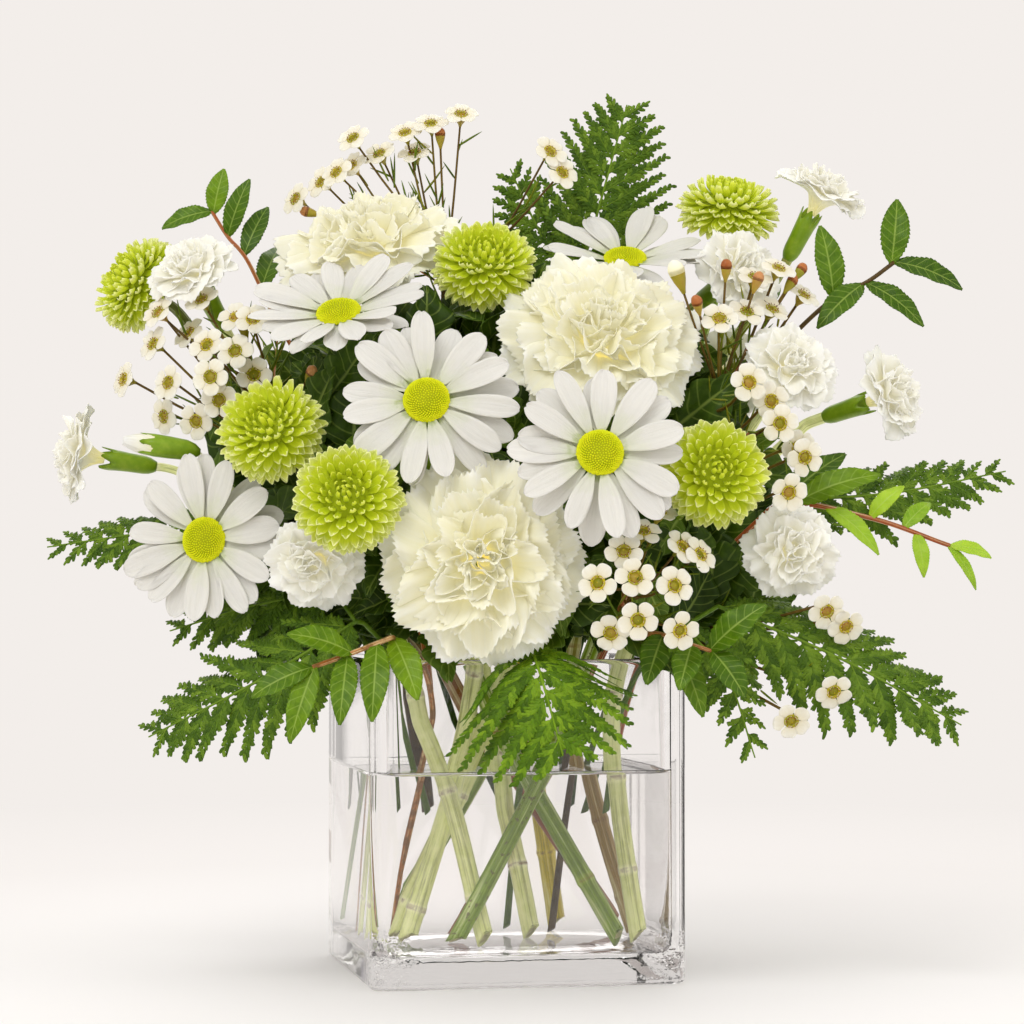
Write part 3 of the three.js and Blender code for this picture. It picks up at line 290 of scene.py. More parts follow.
def foot_of(plant):
    """A stem's first points: its foot, and its place in the mouth."""
    foot = list(plant["foot"]) + [VASE["floor"] + 2.4]
    return [np.array(foot[:3], float), np.array([*plant["mouth"], VASE["height"]], float)]


def plant_strands(name, plant):
    """A stem to the first head, and a branch to each other one. They end as the heads face."""
    made = []
    for i, head_name in enumerate(plant["heads"]):
        head = HEADS[head_name]
        back = head["kind"]["back"]
        join, start = fork_of(made[0], plant["forks"][i - 1]) if i else (None, foot_of(plant))
        points = smooth([*start, neck_of(head, back + 8), neck_of(head, back), neck_of(head)])
        first = len(points) - 1 - math.ceil((back + 8) / SPACING)
        made.append(Strand(name, points, plant["radius"] * (0.75 if i else 1), first, join, head_name))
    return made


def leafy_strands(name, branches):
    """Foliage runs through fixed places above the mouth, so only the part below moves."""
    made = []
    for branch in branches:
        fixed = [*branch["route"]] + ([branch["blades"][0]["rib"][0]] if "blades" in branch else [])
        fixed = [np.array(p, float) for p in fixed]
        join, start = fork_of(made[0], branch["fork"]) if "fork" in branch else (None, foot_of(branch))
        points = smooth([*start, *fixed])
        near = np.linalg.norm(points - fixed[min(1, len(fixed) - 1)], axis=1) < SPACING
        first = int(np.argmax(near)) if near.any() else len(points) - 1
        made.append(Strand(name, points, branch["radius"], first, join))
    return made


def seen_from(head, points, sink):
    """How points lie about a head's middle, which is sunk by a share of its neck behind its face:
    the head's axis, the way to each point, and how far each is up the axis and out from it."""
    axis = unit(head["faces"])
    flat = head["kind"] is DAISY
    depth = 0 if flat else head["kind"]["neck"] * sink
    away = points - (np.array(head["at"], float) - axis * depth)
    up = away @ axis
    return axis, away, up, np.linalg.norm(away - up[:, None] * axis, axis=1)


def pushes_of_heads(points, radius, own):
    """How far each point is pushed out of the heads that aren't its own."""
    push = np.zeros_like(points)
    for i, head in enumerate(HEADS.values()):
        kind = head["kind"]
        flat = kind is DAISY
        depth = (4.5 if flat else kind["neck"] * 0.6) + radius + 1.5
        wide = kind["across"] / 2 + radius + 1
        axis, away, up, out = seen_from(head, points, 0.45)
        inside = np.hypot(up / depth, out / wide)
        hit = (inside < 1) & (own != i)
        if flat:
            amount = np.where(up == 0, -1, np.sign(up)) * (depth - np.abs(up)) * 0.5
            push[hit] += amount[hit, None] * axis
        else:
            far = np.maximum(np.linalg.norm(away, axis=1), 1e-9)
            amount = (1 - inside) * depth * 0.5 / far
            push[hit] += amount[hit, None] * away[hit]
    return push


def push_apart(strands):
    """Pushes the strands of different owners apart, round by round, and keeps them in the vase."""
    points = np.concatenate([s.points for s in strands])
    starts = np.cumsum([0] + [len(s.points) for s in strands])
    which = np.concatenate([np.full(len(s.points), k) for k, s in enumerate(strands)])
    owners = {name: k for k, name in enumerate(dict.fromkeys(s.owner for s in strands))}
    owner = np.array([owners[s.owner] for s in strands])[which]
    radius = np.array([s.radius for s in strands])[which]
    heads = {name: k for k, name in enumerate(HEADS)}
    own = np.array([heads.get(s.head, -1) for s in strands])[which]
    free = ~np.concatenate([s.held for s in strands])
    joins = [(starts[k], starts[strands.index(s.join[0])] + s.join[1])
             for k, s in enumerate(strands) if s.join]
    margin, again = 12, 4  # the pairs within a margin are looked up again every few rounds
    for step in range(ROUNDS):
        if step % again == 0:
            far2 = np.sum(points**2, 1)
            far2 = far2[:, None] + far2[None] - 2 * points @ points.T
            reach = radius[:, None] + radius[None] + CLEAR + margin
            near = (far2 < reach**2) & (owner[:, None] != owner[None])
            a, b = np.nonzero(np.triu(near, 1))
        away = points[a] - points[b]
        far = np.linalg.norm(away, axis=1)
        need = radius[a] + radius[b] + CLEAR
        amount = np.where(far < need, 0.35 * (need - far) / np.maximum(far, 1e-6), 0)[:, None] * away
        push = np.zeros_like(points)
        np.add.at(push, a, amount)
        np.add.at(push, b, -amount)
        push += pushes_of_heads(points, radius, own)
        middle = np.zeros_like(points)
        middle[1:-1] = (points[:-2] + points[2:]) / 2
        push += 0.4 * (middle - points)
        size = np.linalg.norm(push, axis=1, keepdims=True)
        push *= np.minimum(1, LONGEST_PUSH / np.maximum(size, 1e-9))
        points[free] += push[free]
        low = free & (points[:, 2] < MOUTH)
        room = (VASE["width"] / 2 - VASE["wall"] - radius - 1)[low]
        x = COS * points[low, 0] - SIN * points[low, 1]
        y = SIN * points[low, 0] + COS * points[low, 1]
        x, y = np.clip(x, -room, room), np.clip(y, -room, room)
        points[low, 0], points[low, 1] = COS * x + SIN * y, COS * y - SIN * x
        for first, on in joins:
            points[first] = points[on]
    for k, s in enumerate(strands):
        s.points = points[starts[k]:starts[k + 1]]


runs = {name: plant_strands(name, plant) for name, plant in PLANTS.items()}
for foliage in (WAX, {name: [fern] for name, fern in FERNS.items()}, SPRIGS):
    runs.update({name: leafy_strands(name, branches) for name, branches in foliage.items()})
push_apart([s for made in runs.values() for s in made])


# ------------------------------------------------------------------ meshes

def to_part(points):
    """From the bouquet's millimetres to the part's metres."""
    x, y, z = np.asarray(points, float).reshape(-1, 3).T
    return np.stack([COS * x - SIN * y, SIN * x + COS * y, z], 1) * MM


def cells(ids):
    """The quads of a grid of point numbers."""
    corners = [ids[:-1, :-1], ids[1:, :-1], ids[1:, 1:], ids[:-1, 1:]]
    return np.stack(corners, -1).reshape(-1, 4)


HEM = 0.12  # the width of a hem's cells, as a share of theirs


def hemmed(values):
    """Grids of values with one more, narrow cell along each of their borders. It keeps the
    shading of a thin sheet's edge from spreading over its face."""
    for axis in (1, 2):
        a = np.moveaxis(values, axis, 0)
        second, last = a[:1] + HEM * (a[1:2] - a[:1]), a[-1:] + HEM * (a[-2:-1] - a[-1:])
        values = np.moveaxis(np.concatenate([a[:1], second, a[1:-1], last, a[-1:]]), 0, axis)
    return values


def normals_of(points):
    """The unit normals of grids of points [..., row, column, 3]."""
    normal = np.cross(np.gradient(points, axis=-3), np.gradient(points, axis=-2))
    return normal / np.maximum(np.linalg.norm(normal, axis=-1, keepdims=True), 1e-9)


def round_angles(count):
    """Angles spread evenly round a circle."""
    return np.arange(count) * 2 * math.pi / count


def show(name, data):
    """Puts an object that holds the data into the scene."""
    made = bpy.data.objects.new(name, data)
    bpy.context.scene.collection.objects.link(made)
    return made


class Piece:
    """Gathers what one piece is made of: points, faces of any size, a mark for each point (how far
    along it is, how far across, and a draw of its own) and a material for each face."""

    def __init__(self):
        self.points, self.marks, self.faces, self.paints, self.used = [], [], [], [], []
        self.total = 0

    def add(self, points, faces, marks, paint):
        points = np.asarray(points, float).reshape(-1, 3)
        if paint not in self.used:
            self.used.append(paint)
        for group in faces:
            self.faces.append(np.asarray(group) + self.total)
            self.paints.append(np.full(len(group), self.used.index(paint)))
        self.points.append(points)
        self.marks.append(np.broadcast_to(np.asarray(marks, float), points.shape))
        self.total += len(points)

    def shells(self, points, thick, paint, along=None, draw=0.5):
        """Closed thin sheets from grids of points [sheet, row, column]: two faces that meet at
        the grid's border."""
        points = np.asarray(points, float)
        if points.ndim == 3:
            points = points[None]
        along = np.linspace(0, 1, points.shape[1])[None, :, None] if along is None else along
        marks = np.zeros(points.shape)
        marks[..., 0] = along
        marks[..., 1] = np.linspace(-1, 1, points.shape[2])
        marks[..., 2] = np.reshape(draw, (-1, 1, 1))
        points, marks = hemmed(points), hemmed(marks)
        k, n, m, _ = points.shape
        lift = normals_of(points) * thick / 2
        lift[:, [0, -1]] = 0
        lift[:, :, [0, -1]] = 0
        front, back = points + lift, (points - lift)[:, 1:-1, 1:-1]
        ids = np.arange(n * m).reshape(n, m)
        back_ids = ids.copy()
        back_ids[1:-1, 1:-1] = n * m + np.arange((n - 2) * (m - 2)).reshape(n - 2, m - 2)
        quads = np.concatenate([cells(ids), cells(back_ids)[:, ::-1]])
        each = n * m + (n - 2) * (m - 2)
        quads = (quads[None] + each * np.arange(k)[:, None, None]).reshape(-1, 4)
        join = lambda a, b: np.concatenate([a.reshape(k, -1, 3), b.reshape(k, -1, 3)], 1)
        self.add(join(front, back), [quads], join(marks, marks[:, 1:-1, 1:-1]).reshape(-1, 3), paint)

    def lathe(self, rings, paint, draw=0.5):
        """A closed body from rings of points [ring, side], capped flat at both ends."""
        rings = np.asarray(rings, float)
        n, m, _ = rings.shape
        ids = np.arange(n * m).reshape(n, m)
        ids = np.concatenate([ids, ids[:, :1]], 1)
        marks = np.zeros((n, m, 3))
        marks[..., 0] = np.linspace(0, 1, n)[:, None]
        marks[..., 1] = np.arange(m) / m
        marks[..., 2] = draw
        caps = [np.arange(m)[None, ::-1], (n - 1) * m + np.arange(m)[None]]
        self.add(rings, [cells(ids)[:, ::-1], *caps], marks.reshape(-1, 3), paint)

    def tube(self, line, radius, paint, sides=8, draw=0.5, knots=None, slant=0):
        """A closed round rod along a line. Its first end may be cut on a slant."""
        line = np.asarray(line, float)
        radius = np.broadcast_to(np.asarray(radius, float), (len(line),))
        along = np.gradient(line, axis=0)
        along /= np.maximum(np.linalg.norm(along, axis=1, keepdims=True), 1e-9)
        side = np.cross(along[0], [0.3, 0.9, 0.2])
        angles = round_angles(sides)
        cos, sin = np.cos(angles)[:, None], np.sin(angles)[:, None]
        rings = np.zeros((len(line), sides, 3))
        for i, (point, ahead) in enumerate(zip(line, along)):
            side = unit(side - ahead * (side @ ahead))
            other = np.cross(ahead, side)
            rings[i] = point + radius[i] * (cos * side + sin * other)
        rings[0] -= np.outer(np.cos(angles) * slant * radius[0], along[0])
        self.lathe(rings[:, ::-1], paint, draw if knots is None else np.asarray(knots)[:, None])

    def copies(self, template, faces, frames, marks, paint):
        """Copies of a small body: frames holds a 3 by 4 matrix for each."""
        count, size = len(frames), len(template)
        points = np.einsum("kij,nj->kni", frames[:, :, :3], template) + frames[:, None, :, 3]
        steps = size * np.arange(count)
        moved = [(np.asarray(g)[None] + steps[:, None, None]).reshape(-1, len(g[0])) for g in faces]
        marks = np.broadcast_to(marks, (count, size, 3)).reshape(-1, 3)
        self.add(points, moved, marks, paint)

    def build(self, name, node, bouquet=True):
        """Makes the piece's mesh. Its points are in the bouquet's frame, or in the vase's."""
        points = np.concatenate(self.points)
        points = to_part(points) if bouquet else points * MM
        mesh = bpy.data.meshes.new(name)
        mesh.vertices.add(len(points))
        mesh.vertices.foreach_set("co", points.astype(np.float32).ravel())
        sizes = np.concatenate([np.full(len(g), g.shape[1]) for g in self.faces])
        corners = np.concatenate([g.ravel() for g in self.faces])
        mesh.loops.add(len(corners))
        mesh.loops.foreach_set("vertex_index", corners.astype(np.int32))
        mesh.polygons.add(len(sizes))
        starts = np.cumsum(np.concatenate([[0], sizes[:-1]]))
        mesh.polygons.foreach_set("loop_start", starts.astype(np.int32))
        mesh.polygons.foreach_set("material_index", np.concatenate(self.paints).astype(np.int32))
        mark = mesh.attributes.new("mark", "FLOAT_VECTOR", "POINT")
        mark.data.foreach_set("vector", np.concatenate(self.marks).astype(np.float32).ravel())
        for paint in self.used:
            mesh.materials.append(PAINTS[paint])
        mesh.update(calc_edges=True)
        mesh.shade_smooth()
        piece = show(name, mesh)
        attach(piece, "root")
        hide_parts(node)


def turned(axis, spin=0):
    """The turn that takes +Z to an axis, after a spin about +Z."""
    base = np.array(Vector((0, 0, 1)).rotation_difference(Vector(unit(axis))).to_matrix())
    c, s = math.cos(spin), math.sin(spin)
    return base @ np.array([[c, -s, 0], [s, c, 0], [0, 0, 1]])


def placed(points, at, axis, spin=0):
    """Points that were drawn about +Z, turned to an axis and moved to a place."""
    flat = points.reshape(-1, 3) @ turned(axis, spin).T + np.asarray(at, float)
    return flat.reshape(points.shape)


def at_head(points, head, spin=0):
    """Points that were drawn about +Z, put where a head is."""
    return placed(points, head["at"], head["faces"], spin)


def polar(radius, angle, z):
    """Points from their radius and angle about the upright axis, and their height."""
    return np.stack(np.broadcast_arrays(radius * np.cos(angle), radius * np.sin(angle), z), -1)


def swung(x, y, z, angle):
    """Points turned about the upright axis."""
    c, s = math.cos(angle), math.sin(angle)
    return np.stack([c * x - s * y, s * x + c * y, z], -1)


def profile_rings(profile, sides):
    """Rings from a profile of radii and heights."""
    angles = round_angles(sides)
    return np.array([polar(r, angles, z) for r, z in profile])


# ------------------------------------------------------------------ camera

CAMERA_AT = (4.8, -1258, 155.6)  # in the bouquet's frame
CAMERA_PITCH = math.radians(1.508)
LENS, SENSOR = 106.7, 36


def add_camera():
    data = bpy.data.cameras.new("camera")
    data.lens, data.sensor_width = LENS, SENSOR
    data.clip_end = 100
    camera = show("camera", data)
    x, y, z = CAMERA_AT
    camera.location = ((COS * x - SIN * y) * MM, (SIN * x + COS * y) * MM, z * MM)
    camera.rotation_euler = (math.pi / 2 + CAMERA_PITCH, 0, TURN)
    bpy.context.scene.camera = camera


add_camera()

# ------------------------------------------------------------------ materials

PAINTS = {}


def srgb(r, g, b):
    """A colour as a screen shows it, from 0 to 255, for the shaders."""
    parts = [c / 255 for c in (r, g, b)]
    return (*(c / 12.92 if c <= 0.04045 else ((c + 0.055) / 1.055) ** 2.4 for c in parts), 1)


class Shading:
    """Builds the nodes of a tree. An input is a value, or an output that is linked to it."""

    def __init__(self, tree):
        self.tree = tree

    def join(self, value, socket):
        if isinstance(value, bpy.types.NodeSocket):
            self.tree.links.new(value, socket)
        else:
            socket.default_value = value

    def add(self, kind, inputs, output=0, **settings):
        node = self.tree.nodes.new("ShaderNode" + kind)
        for key, value in settings.items():
            setattr(node, key, value)
        for key, value in inputs.items():
            self.join(value, node.inputs[key])
        return node.outputs[output]

    def math(self, operation, a, b=0.0):
        return self.add("Math", {0: a, 1: b}, operation=operation)

    def stretch(self, value, low, high, to_low=0.0, to_high=1.0):
        """The value brought from one range to another, and held inside it."""
        inputs = {"Value": value, "From Min": low, "From Max": high, "To Min": to_low,
                  "To Max": to_high}
        return self.add("MapRange", inputs)

    def part_of(self, vector, axis):
        return self.add("SeparateXYZ", {0: vector}, axis)

    def blend(self, share, a, b):
        """Two shaders blended."""
        return self.add("MixShader", {0: share, 1: a, 2: b})


class Paint(Shading):
    """One material, built around its Principled shader."""

    def __init__(self, name, **look):
        self.material = bpy.data.materials.new(name)
        self.material.use_nodes = True
        super().__init__(self.material.node_tree)
        self.shader = self.tree.nodes["Principled BSDF"]
        for socket, value in look.items():
            self.shader.inputs[socket.replace("_", " ")].default_value = value
        PAINTS[name] = self.material

    def marks(self):
        mark = self.add("Attribute", {}, "Vector", attribute_name="mark", attribute_type="GEOMETRY")
        return [self.part_of(mark, axis) for axis in "XYZ"]

    def position(self):
        return self.add("TexCoord", {}, "Object")

    def strands(self, across, along, third, detail, rough=0.5):
        """Noise drawn out into lines. Each direction is a value and how often it repeats."""
        parts = {k: self.math("MULTIPLY", *part) for k, part in enumerate((across, along, third))}
        return self.noise(self.add("CombineXYZ", parts), detail, rough)

    def place(self, scale):
        """Places in the part, in units of so many metres each."""
        inputs = {0: self.position(), 1: (1 / scale,) * 3}
        return self.add("VectorMath", inputs, operation="MULTIPLY")

    def noise(self, vector, detail=3.0, rough=0.5):
        inputs = {"Vector": vector, "Scale": 1.0, "Detail": detail, "Roughness": rough}
        return self.add("TexNoise", inputs, "Fac")

    def ramp(self, value, stops):
        node = self.tree.nodes.new("ShaderNodeValToRGB")
        elements = node.color_ramp.elements
        while len(elements) < len(stops):
            elements.new(0.5)
        for element, (at, colour) in zip(elements, stops):
            element.position = at
            element.color = srgb(*colour)
        self.join(value, node.inputs[0])
        return node.outputs[0]

    def mix(self, share, a, b):
        """Two colours mixed."""
        return self.add("Mix", {0: share, 6: a, 7: b}, 2, data_type="RGBA")

    def bump(self, *layers):
        """Relief from pairs of a height and its depth in metres."""
        normal = None
        for height, depth in layers:
            inputs = {"Height": height, "Distance": depth, "Strength": 1.0}
            if normal:
                inputs["Normal"] = normal
            normal = self.add("Bump", inputs)
        self.join(normal, self.shader.inputs["Normal"])

    def colour(self, value):
        self.join(value, self.shader.inputs["Base Color"])

    # Painted glow: the surface gives off light of its own, though it is no lamp.
    def painted_glow(self, colour, strength):
        self.join(colour, self.shader.inputs["Emission Color"])
        self.join(strength, self.shader.inputs["Emission Strength"])

    def finish(self, share, shader):
        """Blends another shader over the Principled one."""
        ends = self.tree.nodes["Material Output"].inputs[0]
        self.join(self.blend(share, self.shader.outputs[0], shader), ends)


def petal_paint(name, stops, shade, veins=9.0, deep=0.00022, rough=0.62, soft=0.3, depth=0.0):
    """A soft petal: its colour runs from the claw to the rim, with fine veins along it. Its depth is a
    painted glow near its claw, an emission that stands in for the light that soaks through its
    neighbours into the folds there."""
    p = Paint(name, Roughness=rough, Subsurface_Weight=soft, Subsurface_Radius=(1.1, 1, 0.8),
              Subsurface_Scale=0.002, Specular_IOR_Level=0.35, Sheen_Weight=0.12, Sheen_Roughness=0.4)
    along, across, draw = p.marks()
    lines = p.strands((across, veins), (along, 1.6), (draw, 37), 4, 0.6)
    cloud = p.noise(p.place(0.006))
    base = p.ramp(p.math("ADD", along, p.stretch(cloud, 0.3, 0.7, -0.07, 0.07)), stops)
    veined = p.mix(p.stretch(lines, 0.42, 0.72, 0, 0.34), base, srgb(*shade))
    own = p.mix(p.stretch(draw, 0, 1, 0, 0.22), veined, srgb(*shade))
    p.colour(own)
    # Painted glow: an emission of the petal's own colour, strongest at the claw, lightens the folds
    # that its neighbours shade.
    if depth:
        p.painted_glow(own, p.stretch(along, 0, 0.9, depth, 0.15 * depth))
    p.bump((lines, deep), (p.noise(p.place(0.0012)), deep * 0.35))


VEIN, STREAK, PALE_STREAK, SCAR = (178, 200, 96), (70, 72, 18), (238, 238, 186), (112, 72, 28)
DRIFT = 0.004  # the size of a leaf's drifting patches, in metres


def leaf_paint(name, stops, rough=0.42, coat=0.15, spot=None, relief=0.0002, soft=0.08, streaks_and_glow=0.0,
               veins=0.0, foot=None):
    """A leaf or a stem: greens that drift along it, with faint lines and a waxy coat. It may have pale
    veins, spots, long streaks with patchy scars, or another colour at a stem's foot. A streaked stem
    also gets a painted glow, an emission that brightens it inside the vase."""
    p = Paint(name, Roughness=rough, Coat_Weight=coat, Coat_Roughness=0.28, Subsurface_Weight=soft,
              Subsurface_Radius=(0.6, 1, 0.3), Subsurface_Scale=0.001, Specular_IOR_Level=0.22)
    along, across, draw = p.marks()
    drift = p.noise(p.place(DRIFT), 4, 0.6)
    lines = p.strands((across, 8), (along, 3), (draw, 23), 3)
    tone = p.math("ADD", p.math("MULTIPLY", drift, 0.55), p.math("MULTIPLY", draw, 0.45))
    base = p.ramp(p.stretch(tone, 0.2, 0.8), stops)
    if veins:
        aside = p.math("ABSOLUTE", across)
        middle = p.stretch(aside, 0.02, 0.09, veins, 0)
        slanted = p.math("SUBTRACT", along, p.math("MULTIPLY", aside, 0.14))
        ribs = p.stretch(p.math("SINE", p.math("MULTIPLY", slanted, 50)), 0.82, 1.0, 0, 0.5 * veins)
        base = p.mix(p.math("MAXIMUM", middle, ribs), base, srgb(*VEIN))
    if foot:
        height = p.part_of(p.position(), "Z")
        base = p.mix(p.stretch(height, 0.1, 0.15, 0.92, 0), base, srgb(*foot))
    if streaks_and_glow:
        grain = p.strands((across, 12), (along, 4), (3.0, 1.0), 4, 0.65)
        base = p.mix(p.stretch(grain, 0.5, 0.66, 0, streaks_and_glow), base, srgb(*STREAK))
        base = p.mix(p.stretch(grain, 0.5, 0.34, 0, streaks_and_glow), base, srgb(*PALE_STREAK))
        scar = p.math("MULTIPLY", p.stretch(draw, 0.55, 0.95), p.stretch(drift, 0.42, 0.56))
        base = p.mix(p.math("MULTIPLY", scar, 0.85), base, srgb(*SCAR))
        # Painted glow: the streaked stem gives off a little light of its own colour, so that it looks
        # lit inside the glass and water.
        p.painted_glow(base, 0.24)
    if spot:
        flecks = p.noise(p.place(DRIFT * 0.55), 2, 0.4)
        base = p.mix(p.stretch(flecks, 0.6, 0.66, 0, 0.9), base, srgb(*spot))
    p.colour(base)
    p.bump((lines, relief), (p.noise(p.place(0.0007), 2), relief * 0.3))


# Of each petal: its colours from the claw to the rim, the shade of its veins, and its own values. A
# depth among them gives the petal a painted glow near its claw.
for petal, stops, shade, own in (
    ("cream_petal", [(0, (246, 226, 124)), (0.4, (243, 235, 182)), (0.75, (241, 238, 212)),
                     (0.94, (242, 240, 222)), (1, (249, 248, 240))], (234, 226, 176),
     dict(deep=0.00012, depth=0.36)),
    ("spray_petal", [(0, (240, 230, 160)), (0.4, (244, 239, 208)), (0.78, (243, 241, 228)),
                     (1, (249, 248, 243))], (234, 230, 206), dict(deep=0.00012, depth=0.24)),
    ("daisy_petal", [(0, (150, 170, 70)), (0.07, (214, 216, 190)), (0.3, (226, 223, 214)),
                     (1, (236, 233, 227))], (202, 199, 190), dict(veins=5.5, deep=0.0003, soft=0.2)),
    # The mum petal darkens towards its claw: partly its own greener base, partly painted shade where
    # the petals crowd.
    ("mum_petal", [(0, (152, 160, 2)), (0.3, (192, 204, 14)), (0.66, (220, 228, 54)),
                   (1, (248, 249, 170))], (164, 190, 14), dict(veins=3, deep=0.0001, depth=0.12)),
    ("wax_petal", [(0, (226, 206, 150)), (0.3, (244, 236, 208)), (1, (250, 247, 234))],
     (234, 220, 186), dict(veins=4, deep=0.00008, rough=0.4)),
):
    petal_paint(petal, stops, shade, **own)

# Of each leaf, stem or bud: its darkest, middle and lightest colour, or the two ends, and its own
# values.
STEM = dict(streaks_and_glow=0.6, coat=0.3)
DULL = dict(rough=0.7, coat=0)
VEINED = dict(coat=0.03, veins=0.45)
FERN = dict(rough=0.5, coat=0.05)
for leaf, colours, middle, own in (
    ("disc", ((196, 206, 4), (220, 226, 8), (236, 234, 30)), 0.5, dict(rough=0.6, coat=0)),
    ("disc_bed", ((160, 166, 0), (186, 188, 4)), 0, DULL),
    ("mum_bed", ((140, 156, 0), (170, 182, 6)), 0, DULL),
    ("pith", ((200, 198, 140), (230, 224, 176)), 0, DULL),
    ("calyx", ((96, 132, 14), (128, 160, 28), (168, 188, 60)), 0.5, dict(rough=0.35, coat=0.2)),
    ("stem_green", ((100, 128, 14), (134, 160, 30), (172, 190, 62)), 0.5, STEM),
    ("stem_pale", ((206, 212, 132), (232, 233, 176), (247, 246, 212)), 0.5, STEM),
    ("stem_spotted", ((104, 132, 12), (154, 176, 44)), 0, {**STEM, "spot": (74, 44, 14)}),
    ("stem_dark", ((62, 70, 10), (96, 104, 22), (122, 118, 40)), 0.6,
     dict(rough=0.5, streaks_and_glow=0.4, coat=0.3, foot=(134, 62, 30))),
    ("stem_grey", ((110, 122, 38), (160, 166, 80)), 0,
     dict(rough=0.5, streaks_and_glow=0.5, coat=0.3, foot=(146, 112, 50))),
    ("stem_yellow", ((190, 170, 22), (226, 206, 66)), 0, {**STEM, "rough": 0.45}),
    ("twig_red", ((116, 46, 14), (158, 70, 26), (176, 116, 44)), 0.5,
     {**STEM, "rough": 0.5, "relief": 0.0003}),
    ("twig_brown", ((70, 50, 12), (104, 80, 22), (128, 112, 34)), 0.5, dict(rough=0.55)),
    ("stem_leaf", ((48, 76, 2), (78, 108, 6), (116, 146, 24)), 0.5, dict(veins=0.45)),
    ("mum_leaf", ((34, 56, 2), (56, 82, 6), (88, 116, 20)), 0.5,
     dict(rough=0.45, coat=0.02, veins=0.45)),
    ("glossy_leaf", ((44, 74, 0), (76, 110, 0), (116, 150, 10)), 0.5, VEINED),
    ("young_leaf", ((118, 158, 14), (172, 204, 50)), 0, dict(rough=0.4, soft=0.2, veins=0.45)),
    # The same fern green three times: darker as painted shade for the back ferns, the middle one, and
    # lighter as painted light for the front fern.
    ("fern_painted_shade", ((30, 50, 4), (50, 78, 8), (84, 112, 22)), 0.5, FERN),
    ("fern_mid", ((54, 84, 4), (82, 114, 12), (120, 150, 36)), 0.5, FERN),
    ("fern_painted_light", ((60, 92, 0), (90, 128, 4), (136, 172, 28)), 0.5, {**FERN, "soft": 0.15}),
    ("needle", ((70, 92, 6), (108, 130, 20), (150, 142, 30)), 0.6, dict(rough=0.45, coat=0.05)),
    ("wax_cup", ((150, 150, 2), (182, 170, 8), (210, 186, 34)), 0.5, dict(rough=0.22, coat=0.5)),
    ("wax_calyx", ((134, 138, 20), (172, 154, 50), (192, 140, 70)), 0.6, dict(rough=0.4)),
    ("anther", ((110, 40, 14), (166, 76, 30)), 0, dict(rough=0.4, coat=0.2)),
    ("copper_bud", ((150, 78, 30), (192, 118, 62), (216, 162, 106)), 0.6, dict(rough=0.4)),
):
    stops = list(zip((0, middle, 1) if middle else (0, 1), colours))
    leaf_paint(leaf, stops, **own)


def clear_paint(name, ior, tint, relief):
    """A clear body. Its shadows let most of the light through. Its low part is uneven, and the
    lowest corners more so."""
    p = Paint(name, Roughness=0.0, Transmission_Weight=1.0, IOR=ior, Base_Color=tint)
    x, y, height = (p.part_of(p.position(), axis) for axis in "XYZ")
    low = p.stretch(height, 0.012, 0.03, 1.0, 0.04)
    corner = p.math("ABSOLUTE", p.math("MULTIPLY", x, y))
    spark = p.math("MULTIPLY", p.stretch(corner, 0.0027, 0.0034), p.stretch(height, 0.018, 0.026, 1, 0))
    p.bump((p.math("MULTIPLY", p.noise(p.place(0.012), 2), low), relief),
           (p.math("MULTIPLY", p.noise(p.place(0.0035), 2), spark), relief * 5))
    see = p.add("BsdfTransparent", {0: (0.985, 0.985, 0.985, 1)})
    p.finish(p.add("LightPath", {}, "Is Shadow Ray"), see)


clear_paint("clear_glass", 1.45, (0.985, 0.98, 0.98, 1), 0.00012)
clear_paint("water", 1.33, (0.99, 0.985, 0.982, 1), 0.00002)

# ------------------------------------------------------------------ the holder

def rounded_square(half, corner):
    """The outline of a square with rounded corners, anticlockwise."""
    made = []
    for quarter, (sx, sy) in enumerate(((1, 1), (-1, 1), (-1, -1), (1, -1))):
        angles = (quarter + np.linspace(0, 1, 7)) * math.pi / 2
        centre = np.array([sx, sy]) * (half - corner)
        made.append(centre + corner * np.stack([np.cos(angles), np.sin(angles)], 1))
    return np.concatenate(made)


def square_ring(half, corner, height, step=None):
    """A square outline at a height, or with each point stepped up or down from it."""
    ring = rounded_square(half, corner)
    heights = np.full(len(ring), height) if step is None else height + step(ring)
    return np.column_stack([ring, heights])


DOME_TOP = 15.5  # of the glass floor inside the vase


def floor_shape(ring):
    """How the glass floor sinks from the middle of its dome."""
    away = np.sum(ring**2, 1) / (2 * 58**2)
    return -5.3 * away**1.3


def floor_rings(half, lift):
    """The rings on the glass floor, from its middle out to the walls."""
    inner = VASE["inner_corner"]
    rings = [square_ring(r, r * 0.25, lift, floor_shape) for r in (1, 6, 16, 28, 40)]
    for inset, up in ((8, 0), (4, 0.5), (1.6, 1.8), (0.4, 4.4), (0, 8)):
        rings.append(square_ring(half - inset, inner - inset * 0.3, lift + up, floor_shape))
    return rings


